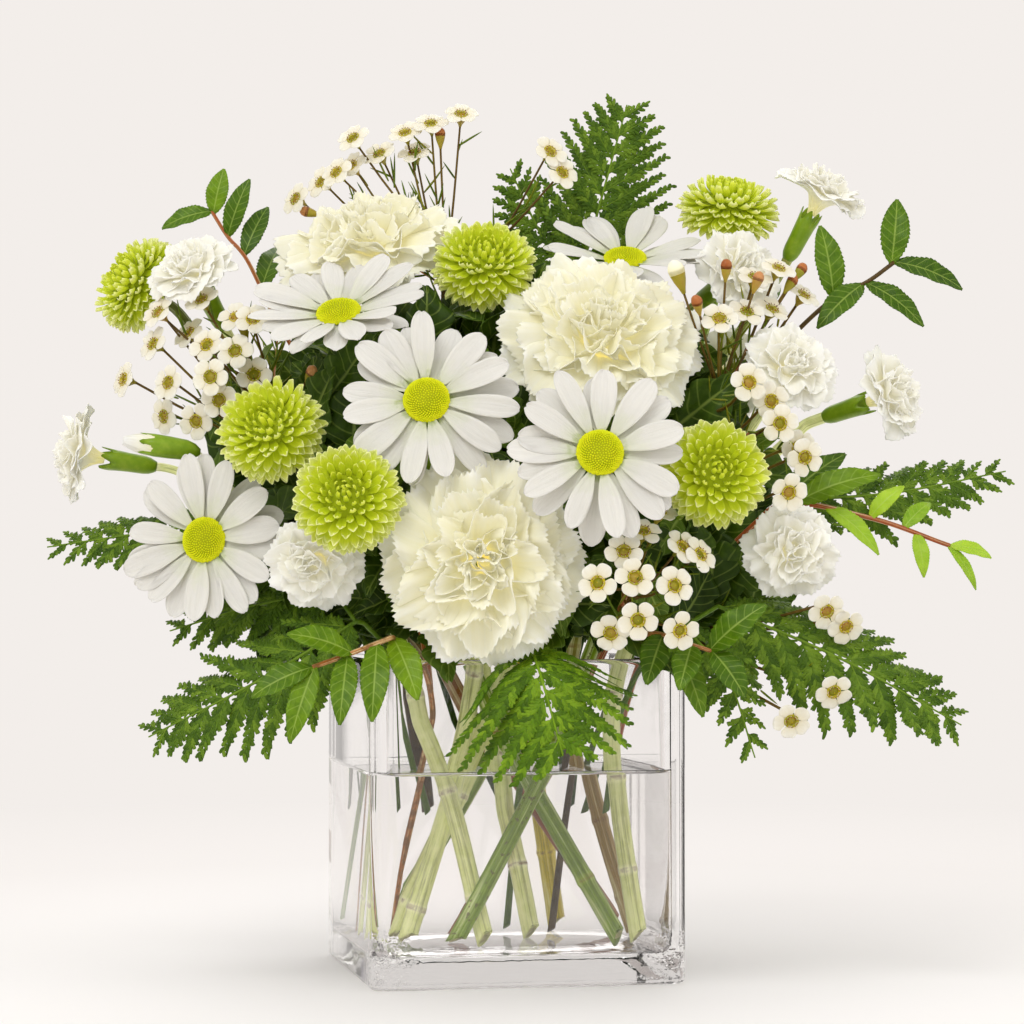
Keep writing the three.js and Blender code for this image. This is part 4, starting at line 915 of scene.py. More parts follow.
def glass_vase():
    """The vase as one body of rings: its hollowed foot, the outside, the rim and the inside."""
    half, top, wall = VASE["width"] / 2, VASE["height"], VASE["wall"]
    corner, inner = VASE["corner"], VASE["inner_corner"]
    edge = 2.5  # the radius of the outer edge below
    rings = [square_ring(r, max(r * 0.13, 0.6), 1.2) for r in (2, 20, 40, half - 13)]
    rings += [square_ring(half - 10.5, 6, 0.5), square_ring(half - 8, 6.5, 0)]
    for turn in np.linspace(0, math.pi / 2, 6):
        inset = edge * (1 - math.sin(turn))
        rings.append(square_ring(half - inset, corner - inset * 0.6, edge * (1 - math.cos(turn))))
    for height in (10, 24, 50, 80, 105):
        rings.append(square_ring(half, corner, height))
    for turn in np.linspace(0, math.pi, 11):
        inset = wall / 2 * (1 - math.cos(turn))
        share = inset / wall
        rings.append(square_ring(half - inset, corner + (inner - corner) * share,
                                 top - wall / 2 + wall / 2 * math.sin(turn)))
    for height in (105, 80, 50, 28):
        rings.append(square_ring(half - wall, inner, height))
    rings += floor_rings(half - wall, DOME_TOP)[::-1]
    piece = Piece()
    piece.lathe(rings, "clear_glass")
    piece.build("vase_glass", "glass_vase", bouquet=False)


def water_body():
    """The water. It reaches a little into the glass, and climbs it at the surface."""
    into, climb = 0.15, 1.8
    half, inner = VASE["width"] / 2 - VASE["wall"] + into, VASE["inner_corner"]
    rings = floor_rings(half, DOME_TOP - into)
    for height in (32, 50, 70, WATER_LEVEL - 2, WATER_LEVEL + 1.2, WATER_LEVEL + climb):
        rings.append(square_ring(half, inner, height))
    for inset in (0.3, 0.7, 1.2, 1.9, 3, 5, 9, 20, 40):
        up = WATER_LEVEL + climb * math.exp(-inset / 1.2)
        rings.append(square_ring(half - inset, max(inner - inset * 0.5, 3), up))
    rings.append(square_ring(3, 0.8, WATER_LEVEL))
    piece = Piece()
    piece.lathe(rings, "water")
    piece.build("water_body", "water", bouquet=False)


# ------------------------------------------------------------------ flower heads, drawn about +Z

def grid(rows, columns):
    """How far along and how far across each point of a sheet is."""
    return np.meshgrid(np.linspace(0, 1, rows), np.linspace(-1, 1, columns), indexing="ij")


def daisy_petals(rng, cupped):
    """Two layers of long petals with two grooves each. A few of them hang."""
    u, v = grid(17, 9)
    u = np.sin(math.pi / 2 * u)  # the rows crowd towards the tip
    made = []
    count, fall = 11, 0.0036
    for layer, (lift, first) in enumerate(((0.17, 0), (0.03, 0.5))):
        for i in range(count):
            angle = 2 * math.pi / count * (i + first) + rng.normal(0, 0.075)
            start, end = 7.4, 36.5 * rng.uniform(0.87, 1.0)
            wide = rng.uniform(4.3, 5.6)
            tip = 0.02 * u**6 * v**2 + rng.uniform(0, 0.022) * u**9 * np.exp(-(v / 0.25) ** 2)
            x = start + (end - start) * (u - tip)
            shape = 0.2 + 0.8 * np.sin(math.pi / 2 * np.clip(u / 0.6, 0, 1))
            shape = shape * np.sqrt(1 - 0.93 * np.clip((u - 0.66) / 0.34, 0, 1) ** 2.3)
            y = wide * shape * v
            along = x - start
            steep = lift + cupped + rng.uniform(-0.1, 0.13) - 0.2 * (rng.uniform() < 0.15)
            z = along * steep - fall * rng.uniform(0.6, 1.7) * along**2 - layer * 0.9
            grooves = np.exp(-((v - 0.34) / 0.15) ** 2) + np.exp(-((v + 0.34) / 0.15) ** 2)
            z = z - 0.42 * np.minimum(u * 5, 1) * grooves
            z = z + wide * rng.uniform(0.02, 0.16) * v**2 + y * rng.uniform(-0.16, 0.16) * u
            z = z + 0.5 * np.sin(u * rng.uniform(3, 6) + rng.uniform(0, 6)) * v * u
            y = y + rng.normal(0, 0.5) * u**2
            made.append(swung(x, y, z + 0.5, angle))
    return np.array(made)


def bud_floret(radius, height):
    """A small closed bud on the plane z = 0, as points and faces."""
    sides = 6
    profile = ((0.75, -0.35), (1, 0.25), (0.72, 0.78))
    rings = profile_rings([(r * radius, z * height) for r, z in profile], sides)
    points = np.concatenate([*rings, [[0, 0, height]]])
    side = np.arange(sides)
    nxt = (side + 1) % sides
    quads = np.concatenate([np.stack([side + k * sides, nxt + k * sides, nxt + (k + 1) * sides,
                                      side + (k + 1) * sides], 1) for k in range(2)])
    caps = np.stack([side + 2 * sides, nxt + 2 * sides, np.full(sides, 3 * sides)], 1)
    return points, [quads, caps, side[None, ::-1]]


def frames_on(points, normals, sizes):
    """A frame for each copy: its place, its outward direction and its size."""
    each = zip(points, normals, sizes)
    return np.array([np.column_stack([turned(normal) * size, point]) for point, normal, size in each])


GOLDEN = math.pi * (3 - math.sqrt(5))  # the golden angle
DISC = {"radius": 8.4, "tall": 3.4, "base": 0.75, "florets": 520}


def daisy_disc(piece, head, rng):
    """A domed disc of tiny florets, set by the golden angle, on a bed."""
    radius, tall, base, count = DISC.values()
    turns = np.linspace(0, 1, 9)[::-1] * math.pi / 2
    profile = [(radius * math.sin(turn), base + tall * math.cos(turn)) for turn in turns]
    profile = [(1, -0.2), (radius * 0.8, -0.2), *profile[:-1], (0.3, base + tall)]
    piece.lathe(at_head(profile_rings(profile, 28), head), "disc_bed")
    k = np.arange(count) + 0.5
    out = np.sqrt(k / count) * 1.02
    tilt = np.minimum(out, 1) * math.pi / 2 * 0.98
    angle = k * GOLDEN
    normal = polar(np.sin(tilt), angle, np.cos(tilt) * 2.0)
    place = polar(radius * np.sin(tilt), angle, base + tall * np.cos(tilt))
    sizes = (0.5 + 0.32 * out) * rng.uniform(0.85, 1.15, count)
    template, faces = bud_floret(0.6, 1.0)
    frames = frames_on(place, normal, sizes)
    turn = turned(head["faces"])
    places = (frames[:, :, 3] @ turn.T + head["at"])[:, :, None]
    frames = np.concatenate([turn @ frames[:, :, :3], places], 2)
    marks = np.zeros((count, len(template), 3))
    marks[..., 0] = template[:, 2]
    marks[..., 2] = (0.25 + 0.75 * out * rng.uniform(0.7, 1, count))[:, None]
    piece.copies(template, faces, frames, marks, "disc")


THIN_PETAL = 0.3  # the thickness of a petal


def bezier(ends, share):
    """Places on the curve of four control points."""
    a, b, c, d = (np.array(p, float) for p in ends)
    t = share[..., None]
    return (1 - t) ** 3 * a + 3 * (1 - t) ** 2 * t * b + 3 * (1 - t) * t**2 * c + t**3 * d


def ruffled_petal(rng, claw, rim, lean, angle, wide, ruffle, fold, grid_size, size):
    """A petal that rises from the claw inside the head and spreads to its ruffled, toothed rim."""
    rows, columns = grid_size
    u, v = grid(rows, columns)
    rise = rim[1] - claw[1]
    end = np.array(rim, float)
    way = np.array([math.cos(lean), math.sin(lean)])
    reach = math.hypot(rim[0] - claw[0], rise)
    ends = [claw, (claw[0] + 0.05 * reach, claw[1] + 0.5 * reach), end - 0.5 * reach * way, end]
    corner = u * (1 - 0.16 * np.abs(v) ** 2.6 * u)
    deep = np.repeat(rng.uniform(0.4, 1.5, columns // 3 + 1), 3)[:columns]
    saw = deep * np.array([0, 0.6, 1])[(np.arange(columns) + int(rng.integers(3))) % 3]
    teeth = saw[None] * np.clip((u - 0.92) / 0.08, 0, 1)
    swell = 0.03 * np.sin(v * rng.uniform(4, 7) + rng.uniform(0, 6)) * u**4
    share = np.clip(corner - teeth * size / reach + swell, 0, 1.02)
    line = bezier(ends, share)
    r, z = line[..., 0], line[..., 1]
    half = wide * (0.1 + 0.9 * np.clip(u / 0.85, 0, 1) ** 1.3)
    bend = np.maximum(r, 0.62 * wide)
    turn = v * half / bend
    side = bend * np.sin(turn)
    out = r - bend * (1 - np.cos(turn))
    points = np.stack([out, side, z], -1)
    normal = normals_of(points)
    p = rng.uniform(0, 6.3, 8)
    f = rng.uniform(0.85, 1.15, 4)
    waves = np.sin(f[0] * 4.4 * v + p[0]) + 0.6 * np.sin(f[1] * 9 * v + p[1] + 1.5 * u)
    lift = ruffle * u**2.4 * waves
    lift += 0.12 * ruffle * u**5 * np.sin(f[2] * 18 * v + p[2] + 2 * u)
    lift += 0.5 * size * np.sin(3.5 * u + p[3]) * np.sin(2.2 * v + p[5]) * u
    lift += fold * wide * (np.abs(v + 0.15 * np.sin(p[4])) ** 1.3 - 0.5) * u
    lift += 0.025 * size * np.sin(f[3] * 27 * v + p[6]) * np.minimum(u * 2, 1) ** 2
    lift += 0.08 * size * u**10 * np.sin(53 * v + p[7])
    points = points + normal * lift[..., None]
    roll = rng.normal(0, 0.12)
    points[..., 2] += points[..., 1] * roll * u
    return swung(points[..., 0], points[..., 1], points[..., 2], angle)


def ruffled_head(piece, head, whorls, claw, size, grid_size, paint, rng):
    """Whorls of ruffled petals. The inner ones stand in loose tufts, each round a point of its own."""
    first = rng.uniform(0, 6.3)
    for number, (count, rim_r, rim_z, lean, wide, ruffle, fold) in enumerate(whorls):
        first += math.pi / max(count, 1) + rng.uniform(-0.2, 0.2)
        petals = []
        for i in range(count):
            angle = first + 2 * math.pi * i / count + rng.normal(0, 0.1)
            rim = (rim_r * rng.uniform(0.93, 1.03), rim_z + size * rng.normal(0, 0.8))
            own_lean = math.radians(lean + rng.normal(0, 7))
            petal = ruffled_petal(rng, claw, rim, own_lean, angle, wide * rng.uniform(0.88, 1.12),
                                  ruffle * rng.uniform(0.8, 1.25), fold * rng.uniform(0.6, 1.4),
                                  grid_size, size)
            if fold:
                shift = fold * size * rng.normal(0, 3.2, 2)
                petal[..., :2] += shift * (np.linspace(0, 1, grid_size[0]) ** 1.3)[:, None, None]
            petals.append(petal)
        inner = number / (len(whorls) - 1)
        along = np.linspace(0, 1, grid_size[0])[None, :, None] * (1 - 0.12 * inner)
        spots = at_head(np.array(petals), head)
        piece.shells(spots, THIN_PETAL, paint, along=along, draw=rng.uniform(0, 1, count))


# Of each whorl: its petals, the radius and height of its rim, the rise of its rim in degrees,
# half the width of a petal, its ruffle and how much it folds along its middle.
CARNATION_WHORLS = [
    (6, 42.5, -13, -24, 23, 2.6, 0), (6, 40, -7.5, -8, 22, 3.2, 0),
    (6, 36, -2, 10, 20, 3.8, 0.02), (6, 29.5, 2.5, 28, 17.5, 4.2, 0.08),
    (5, 22, 6.5, 44, 16, 4.2, 0.16), (4, 14.5, 9.5, 56, 14, 3.8, 0.26),
    (3, 7.5, 11.5, 68, 11.5, 3, 0.4), (3, 2.6, 12, 80, 8, 2, 0.55)]
SPRAY_WHORLS = [
    (5, 21, -5.5, -22, 13, 1.4, 0), (5, 19.5, -2, 2, 12, 1.6, 0), (5, 15.5, 1.8, 26, 10.5, 1.8, 0.08),
    (4, 10.5, 4.2, 46, 9.4, 1.7, 0.22), (3, 5.6, 5.8, 62, 7.6, 1.4, 0.4), (3, 1.8, 6, 78, 5.2, 1, 0.5)]


def mum_head(piece, head, rng):
    """A button chrysanthemum: a tight middle, and longer spoon-shaped petals further out."""
    count, bed, sunk = 230, 12.4, 6
    k = np.arange(count) + 0.5
    share = k / count
    tilt = math.radians(122) * share**0.6
    angle = k * GOLDEN + rng.normal(0, 0.03, count)
    core = np.array([12.0, 12.0, 8.0])
    normal = polar(np.sin(tilt), angle, np.cos(tilt))
    base = normal * core
    base[:, 2] -= sunk
    down = polar(np.cos(tilt), angle, -np.sin(tilt))
    side = np.cross(down, normal)
    long = np.interp(tilt, [0, 0.5, 1.1, 2.1], [2.6, 5.0, 9.4, 9.8]) * rng.uniform(0.88, 1.1, count)
    wide = np.interp(tilt, [0, 0.5, 1.0, 2.1], [0.7, 1.1, 1.95, 2.15]) * rng.uniform(0.9, 1.1, count)
    lean = np.interp(tilt, [0, 0.6, 1.4, 2.1], [-0.3, 0.35, 0.55, 0.3]) + rng.normal(0, 0.12, count)
    curl = np.interp(tilt, [0, 0.6, 1.4, 2.1], [0.5, 0.5, 0.28, 0.1])
    u, v = grid(8, 5)
    shape = 0.6 + 0.4 * np.sin(math.pi / 2 * np.clip(u / 0.62, 0, 1))
    shape = shape - 0.58 * np.clip((u - 0.62) / 0.38, 0, 1) ** 2
    e = lambda a: a[:, None, None]
    reach = e(long) * (u - 0.1 * u**4 * v**2)
    out = reach * (np.cos(e(lean)) + 0.1 * u)
    fall = reach * (np.sin(e(lean)) - e(curl) * u**1.5)
    across = e(wide) * shape * v
    cup = e(wide) * 0.55 * v**2 * (0.3 + 0.7 * u)
    at = (base[:, None, None] + normal[:, None, None] * out[..., None]
          + down[:, None, None] * (fall - cup)[..., None] + side[:, None, None] * across[..., None])
    young = np.interp(tilt, [0, 0.55, 1.0, 2.1], [0.62, 0.72, 1, 1])
    draws = rng.uniform(0, 1, count)
    piece.shells(at_head(at, head), THIN_PETAL, "mum_petal", along=u * e(young), draw=draws)
    turns = np.linspace(0.02, math.pi - 0.02, 13)
    profile = [(bed * math.sin(turn), -sunk - 8.2 * math.cos(turn)) for turn in turns]
    piece.lathe(at_head(profile_rings(profile, 24), head), "mum_bed")


# ------------------------------------------------------------------ stems

def stem_line(run):
    """A strand's line up to where its head's cup begins, in fine steps."""
    points = run.points
    if run.head:
        head = HEADS[run.head]
        neck = neck_of(head)
        far = np.linalg.norm(points - neck, axis=1) > head["kind"]["back"] + 2 * run.radius
        points = np.vstack([points[far], neck_of(head, head["kind"]["back"])])
    return evenly(points, max(6, int(length_of(points) / 1.6)))


def knotted(line, radius, step, rng):
    """The radius along a stem, which is thickest at its foot, and where its swollen nodes are."""
    run = distances(line)
    made = radius + 0.9 * np.clip((170 - line[:, 2]) / 60, 0, 1)
    knots = np.zeros(len(line))
    if step:
        at = rng.uniform(0.3, 0.8) * step
        while at < run[-1]:
            knots += np.exp(-((run - at) / 1.5) ** 2)
            at += step * rng.uniform(0.8, 1.2)
    return made * (1 + 0.13 * knots), knots


def calyx(piece, head, rng, paint):
    """The green cup under a head, from the stem to its five pointed teeth."""
    kind = head["kind"]
    back, neck = kind["back"], kind["neck"]
    wide, narrow = kind["cup"]
    angles = round_angles(30)
    wave = np.cos(5 * angles + rng.uniform(0, 6.3))
    if kind is MUM or kind is DAISY:
        profile = [(0, 0.7 * narrow), (0.3, 0.85 * narrow), (0.6, 0.5 * (wide + narrow)),
                   (0.9, 0.97 * wide), (1, wide * 0.9)]
        tooth = 0
    else:
        profile = [(-0.06, 0.55 * narrow), (0, 0.72 * narrow), (0.08, 0.9 * narrow), (0.2, narrow),
                   (0.5, narrow * 1.04), (0.8, 0.5 * (narrow + wide)), (1, wide * 0.97)]
        tooth = 0.13 * back
    rings = []
    for share, r in profile:
        z = -neck - back * (1 - share)
        rings.append(polar(r + 0.1 * wave * share, angles, z + tooth * wave * max(share, 0) ** 4))
    if tooth:
        rings.append(polar(wide * 0.9, angles, -neck + tooth * wave - 0.4))
        rings.append(polar(narrow * 0.8, angles, -neck - 0.25 * back))
    piece.lathe(at_head(np.array(rings), head), paint)


# ------------------------------------------------------------------ leaves and fronds

def blade_points(base, tip, looks, ahead, aside, lift):
    """The points of a leaf, from how far ahead, aside and up they are in its own directions."""
    along = unit(tip - base)
    across = unit(np.cross(along, looks))
    up = np.cross(across, along)
    return base + along * ahead[..., None] + across * aside[..., None] + up * lift[..., None]


def leaf_grid(base, tip, width, rows, columns, rng, curl, teeth=0):
    """An oval leaf with fine teeth, or a narrow one that has none."""
    tip = np.array(tip, float)
    length = np.linalg.norm(tip - base)
    u, v = grid(rows, columns)
    if teeth:
        half = 0.48 * np.sin(math.pi * np.clip(u, 0.015, 0.985) ** 0.85) ** 0.72 + 0.01
    else:
        half = 0.5 * np.sin(math.pi * np.clip(u, 0.03, 0.985)) ** 0.8 + 0.01
    if teeth:
        saw = (u * teeth) % 1
        half = half * (1 - 0.13 * saw * np.abs(v) ** 4)
        u = u + 0.03 * saw * np.abs(v) ** 4 * np.sin(math.pi * u)
    c = half * v
    lift = length * 0.4 * u * (1 - u) + width * 0.3 * c**2
    lift = lift - 0.045 * width * np.exp(-(v / 0.14) ** 2) * np.sin(math.pi * u)
    lift = lift + width * 0.03 * np.sin(u * 19 + rng.uniform(0, 6)) * np.abs(v)
    lift = lift - curl * length * u**3
    return blade_points(base, tip, [0.05, -0.8, 0.6], length * u, width * c, lift)


def swing(way, turn):
    """A flat direction turned to the left."""
    c, s = math.cos(turn), math.sin(turn)
    return np.array([c * way[0] - s * way[1], s * way[0] + c * way[1]])


# A fern's fine parts: how far a pinna leans ahead for each step out, the step between pinnules,
# the least size of a pinnule, and of one that forks.
PINNA = {"ahead": 0.95, "step": 2.5, "least": 2.4, "forks": 4.2}


def fern_blade(piece, blade, paint, rng):
    """A blade of fern: pinnae along the rib, and toothed pinnules along each pinna."""
    rib = evenly([np.array(p, float) for p in blade["rib"]], 120)
    length = length_of(rib)
    shares = np.linspace(0, 1, len(rib))
    tangent = np.gradient(rib, axis=0)
    tangent /= np.linalg.norm(tangent, axis=1, keepdims=True)
    face = unit(blade["looks"])

    def place(a, c, h):
        a, c, h = np.broadcast_arrays(np.asarray(a, float), c, h)
        at = np.clip(a / length, 0, 1)
        here, along = (np.stack([np.interp(at, shares, line[:, k]) for k in range(3)], -1)
                       for line in (rib, tangent))
        across = np.cross(np.broadcast_to(face, along.shape), along)
        across /= np.linalg.norm(across, axis=-1, keepdims=True)
        up = np.cross(along, across)
        rest = (a - at * length)[..., None]
        return here + along * rest + across * c[..., None] + up * (h - 0.008 * c**2)[..., None]

    pairs, half = blade["pairs"], blade["half"]
    fine = int(pairs * 1.4 + 0.5)
    pitch = length / (pairs + 0.6)
    leaflets, draws = [], []
    for i in range(fine):
        part = (i + 0.5) / fine
        reach = half * min(1, 0.7 + 1.5 * part) * (1.04 - 0.82 * part * part)
        start = length * (i + 0.15) / (fine + 0.1)
        for side in (1, -1):
            root = start + (0.2 * pitch if side < 0 else 0)
            own = reach * rng.uniform(0.98, 1.12)
            start_at = np.array([root, 0])
            axis = np.array([root + 0.1 * pitch + PINNA["ahead"] * own, own]) - start_at
            long = np.linalg.norm(axis)
            axis = axis / long
            n = max(4, int(long / PINNA["step"]))
            droop = rng.uniform(-0.004, 0.014)
            dip = rng.normal(0, 0.08)
            bend = (side, own, droop, dip)
            widest = min(0.57 * length / fine, 0.3 * long)
            for j in range(n):
                at = (j + 0.4) / (n + 0.2)
                size = max(1.5 * widest * (1 - 0.72 * at) * min(1, 0.55 + at * 5), PINNA["least"])
                for way in (1, -1):
                    ahead = swing(axis, way * (0.66 - 0.2 * at + rng.normal(0, 0.06)))
                    foot = start_at + axis * long * (at + 0.02 * way)
                    own_size = size * rng.uniform(0.85, 1.15)
                    leaflets.append((foot, ahead, own_size, 0.55 + 0.08 * own_size, *bend))
                    draws.append(rng.uniform(0, 1))
                    if own_size > PINNA["forks"]:
                        for fork, up_it in ((0.6, 0.3), (-0.6, 0.45), (0.5, 0.62)):
                            leaflets.append((foot + ahead * own_size * up_it, swing(ahead, fork),
                                             own_size * 0.42, 0.55, *bend))
                            draws.append(draws[-1])
            leaflets.append((start_at, axis, long, 0.75, *bend))
            leaflets.append((start_at + axis * long * 0.88, axis, 3.2, 0.6, *bend))
            draws += [0.5, 0.8]
            mid = np.linspace(0, 0.97, 7)
            line = start_at + np.outer(mid * long, axis)
            heights = dip * mid * own - droop * (mid * own) ** 2
            line = place(line[:, 0], line[:, 1] * side, heights)
            piece.tube(line, np.linspace(0.42, 0.2, 7), paint, 4, rng.uniform(0.3, 1))
    u, v = grid(5, 3)
    columns = (np.array(column, float)[:, None, None] for column in zip(*leaflets))
    foot, ahead, size, wide, side, own, droop, dip = columns
    other = np.stack([-ahead[..., 1], ahead[..., 0]], -1)
    shape = np.sin(math.pi * (0.12 + 0.76 * u)) ** 0.7
    flat = foot + ahead * (size * u)[..., None] + other * (wide * shape * v)[..., None]
    share = flat[..., 1] / own
    heights = dip * share * own - droop * (share * own) ** 2
    heights = heights - 0.10 * size * u**2 + 0.12 * wide * (1 - np.abs(v))
    points = place(flat[..., 0], flat[..., 1] * side, heights)
    piece.shells(points, 0.26, paint, draw=draws)
    rib = rib[::6]
    piece.tube(rib, np.linspace(0.75, 0.3, len(rib)), paint, 6, 0.9)


def floret_body(piece, face, looks, root, thin, rng):
    """A wax flower floret: five round petals round an amber cup, on a conical calyx and a twig."""
    spin = rng.uniform(0, 6.3)
    put = lambda points: placed(points, face, looks, spin)
    u, v = grid(8, 7)
    petals = []
    for i in range(5):
        angle = 2 * math.pi * i / 5 + rng.normal(0, 0.04)
        long, wide = 5.5 * rng.uniform(0.95, 1.05), 3.35 * rng.uniform(0.94, 1.06)
        shape = np.sqrt(np.clip(1 - (1.72 * u - 0.86) ** 2 * 0.92, 0.05, 1))
        x = 2.1 + long * (u - 0.05 * u**4 * v**2)
        y = wide * shape * v * (0.55 + 0.45 * np.minimum(u * 2.4, 1))
        z = 0.8 * u - 1.1 * u**2 * rng.uniform(0.3, 1.4) + 0.5 * v**2 * u
        z = z + 0.12 * np.sin(9 * u + 4 * v + i)
        petals.append(swung(x, y, z - 0.2 + 0.12 * (i % 2), angle))
    piece.shells(put(np.array(petals)), 0.26, "wax_petal", draw=rng.uniform(0, 1, 5))
    bowl = [(0.55, -6.5), (0.9, -5.2), (1.9, -3.6), (2.8, -1.6), (3.0, -0.5), (2.95, 0.15), (2.55, 0.2),
            (2.1, -0.3), (1.7, -0.9), (1.0, -1.25), (0.3, -1.3)]
    rings = profile_rings(bowl, 16)
    piece.lathe(put(rings[:5]), "wax_calyx", rng.uniform(0, 1))
    piece.lathe(put(rings[3:]), "wax_cup", rng.uniform(0, 1))
    for i in range(10):
        angle = 2 * math.pi * (i + 0.5) / 10
        stalk = polar(np.array([2.45, 2.3, 2.2]), angle, np.array([0, 0.55, 0.95]))
        piece.tube(put(stalk), 0.1, "wax_petal", 4)
        knob = polar(np.array([2.3, 2.2, 2.1]), angle, np.array([0.8, 1.05, 1.3]))
        piece.tube(put(knob), [0.14, 0.24, 0.12], "anther", 5, rng.uniform(0, 1))
    style = polar(np.zeros(4), 0, np.array([-1.5, -0.2, 0.9, 1.2]))
    piece.tube(put(style), [0.24, 0.16, 0.14, 0.3], "wax_cup", 5, 0.7)
    neck = face - unit(looks) * 6.2
    bend = root + (neck - root) * 0.55 + np.array([0, 0, -0.06 * np.linalg.norm(neck - root)])
    radii = np.linspace(thin * 1.1, thin * 0.85, 8)
    piece.tube(evenly([root, bend, neck], 7), radii, "twig_brown", 6, rng.uniform(0.2, 0.9))


def needle(piece, base, way, long, rng):
    """A narrow leaf of wax flower, three-sided and slightly curved."""
    way = unit(way)
    bend = np.array([0, 0, rng.uniform(-0.1, 0.25)]) * long
    line = evenly([base, base + way * long * 0.5 + bend * 0.3, base + way * long + bend], 7)
    radii = 0.46 * np.array([0.7, 1, 1.05, 1, 0.95, 0.8, 0.55, 0.15])
    piece.tube(line, radii, "needle", 4, rng.uniform(0, 1))
# ------------------------------------------------------------------ greenery between the heads

def seeded(name):
    return np.random.default_rng(sum((i + 1) * ord(c) for i, c in enumerate(name)))


# The dome that the leaves between the heads fill: its centre and half its sizes. Then how many
# leaves are tried, and how far apart the wanted places of the backing ones are.
FILL_CENTRE = np.array([0, 0, 158.0])
FILL_DOME = np.array([118, 92, 138.0])
FILL_TRIES = 6000
BACKING_STEP = 15


def clear_of_heads(points, margin, front):
    """Whether points lie neither in a head nor close in front of its face."""
    for head in HEADS.values():
        kind = head["kind"]
        depth = 5 if kind is DAISY else kind["neck"] * 0.6
        up, out = seen_from(head, points, 0.4)[2:]
        wide = kind["across"] / 2
        within = np.hypot(np.minimum(up, 0) / (depth + margin), out / (wide + margin)) < 1
        if np.any(within & (up < front)):
            return False
    return True


def clear_of_vase(points, margin):
    """Whether no point lies in the vase or close to it."""
    part = to_part(points) / MM
    reach = np.abs(part[:, :2]).max(1)
    inside = (part[:, 2] < VASE["height"] + margin) & (reach < VASE["width"] / 2 + margin)
    return not inside.any()


def rooted(ropes, base):
    """The stem, among those that stand below, from which a leaf at a place can grow."""
    best = (1e9, None, None)
    for name, rope in ropes.items():
        fits = (rope[:, 2] > MOUTH + 1) & (rope[:, 2] < base[2] - 2)
        if fits.any():
            far = np.linalg.norm(rope[fits] - base, axis=1)
            k = int(np.argmin(far))
            if far[k] < best[0]:
                best = (far[k], name, rope[fits][k])
    return best


def fill_leaves():
    """Lobed leaves that grow from the flowering stems into the room between the heads: first
    backing ones behind the front heads, then some all round a dome, and small ones last."""
    rng = seeded("greenery")
    ropes = {name: np.concatenate([stem_line(run) for run in runs[name]]) for name in PLANTS}
    found = {name: [] for name in PLANTS}
    middles = np.full((1, 3), 1e6)
    wanted = [(x, z) for z in np.arange(150, 292, BACKING_STEP)
              for x in np.arange(-120, 126, BACKING_STEP)]
    for tries in range(FILL_TRIES):
        backing = tries < 4 * len(wanted)
        small = tries > 0.7 * FILL_TRIES
        length = rng.uniform(16, 26) if small else rng.uniform(26, 44)
        if backing:
            x, z = wanted[tries % len(wanted)]
            spot = np.array([x + rng.uniform(-6, 6), rng.uniform(-48, 22), z + rng.uniform(-6, 6)])
            way = unit((spot - FILL_CENTRE) * [1, 0.4, 1] + [0, -25, 0])
            if np.linalg.norm((spot - FILL_CENTRE) / FILL_DOME) > 0.98:
                continue
            lean = unit(way * [1, 0.2, 1] + 0.5 * rng.normal(0, 1, 3) * [1, 0.4, 1] + [0, 0, 0.3])
            tip = spot + lean * length / 2
            looks = unit([0, -1, 0.35] + 0.3 * rng.normal(0, 1, 3))
        else:
            low = rng.uniform() < 0.35
            way = unit([*rng.normal(0, 1, 2), rng.uniform(-0.4, 0.25) if low else rng.uniform(0, 1.8)])
            depth = rng.uniform(0.5, 0.95) if low else rng.uniform(0.3, 0.92)
            tip = FILL_CENTRE + FILL_DOME * way * depth
            lean = unit(way + 0.55 * rng.normal(0, 1, 3) + [0, 0, -0.25 if low else 0.2])
            looks = unit(way + [0, 0, 0.4] + 0.3 * rng.normal(0, 1, 3))
        base = tip - lean * length
        middle = (base + tip) / 2
        width = length * rng.uniform(0.56, 0.7)
        across = unit(np.cross(lean, looks))
        edges = [middle + across * width * 0.4, middle - across * width * 0.4]
        blade = np.array([base, middle, tip, *edges])
        if np.linalg.norm(middles - middle, axis=1).min() < (9.5 if backing else 11.5):
            continue
        if not (clear_of_heads(blade, 1.5, 40 if backing else 60) and clear_of_vase(blade, 5)):
            continue
        far, name, root = rooted(ropes, base)
        if name is None or far > 52:
            continue
        stalk = evenly([root, (root + base) / 2 + [0, 0, -1], base], 6)
        if far > 8 and not clear_of_heads(stalk[1:], -3, 0):
            continue
        middles = np.vstack([middles, middle])
        found[name].append((stalk, tip, width, looks))
    return found


def lobed_leaf(base, tip, width, looks, rng):
    """A chrysanthemum leaf: rounded lobes that sweep forward, and veins pressed into the blade."""
    u, v = grid(31, 11)
    lobes = rng.uniform(3.1, 3.9)
    wave = np.abs(np.sin(math.pi * lobes * u**0.9))
    outline = np.sin(math.pi * np.clip(u, 0.01, 0.99) ** 0.78) ** 0.7
    outline = outline * (0.62 + 0.38 * wave**0.7) + 0.015
    length = np.linalg.norm(tip - base)
    c = 0.5 * outline * v
    ahead = u + 0.07 * np.abs(v) ** 1.5 * np.sin(math.pi * u)
    vein = np.sin(math.pi * lobes * (u - 0.13 * np.abs(v))) ** 8
    swell = np.sin(math.pi * u)
    lift = 0.3 * length * u * (1 - u) + 0.22 * width * np.abs(c)
    lift = lift + 0.04 * width * np.sin(9 * u + 4 * v + width)
    lift -= 0.05 * width * np.exp(-(v / 0.12) ** 2) * swell + 0.018 * width * vein * swell
    lift -= 0.16 * length * u**2.5
    return blade_points(base, tip, looks, length * ahead, width * c, lift)


LEAVES_BETWEEN = fill_leaves()


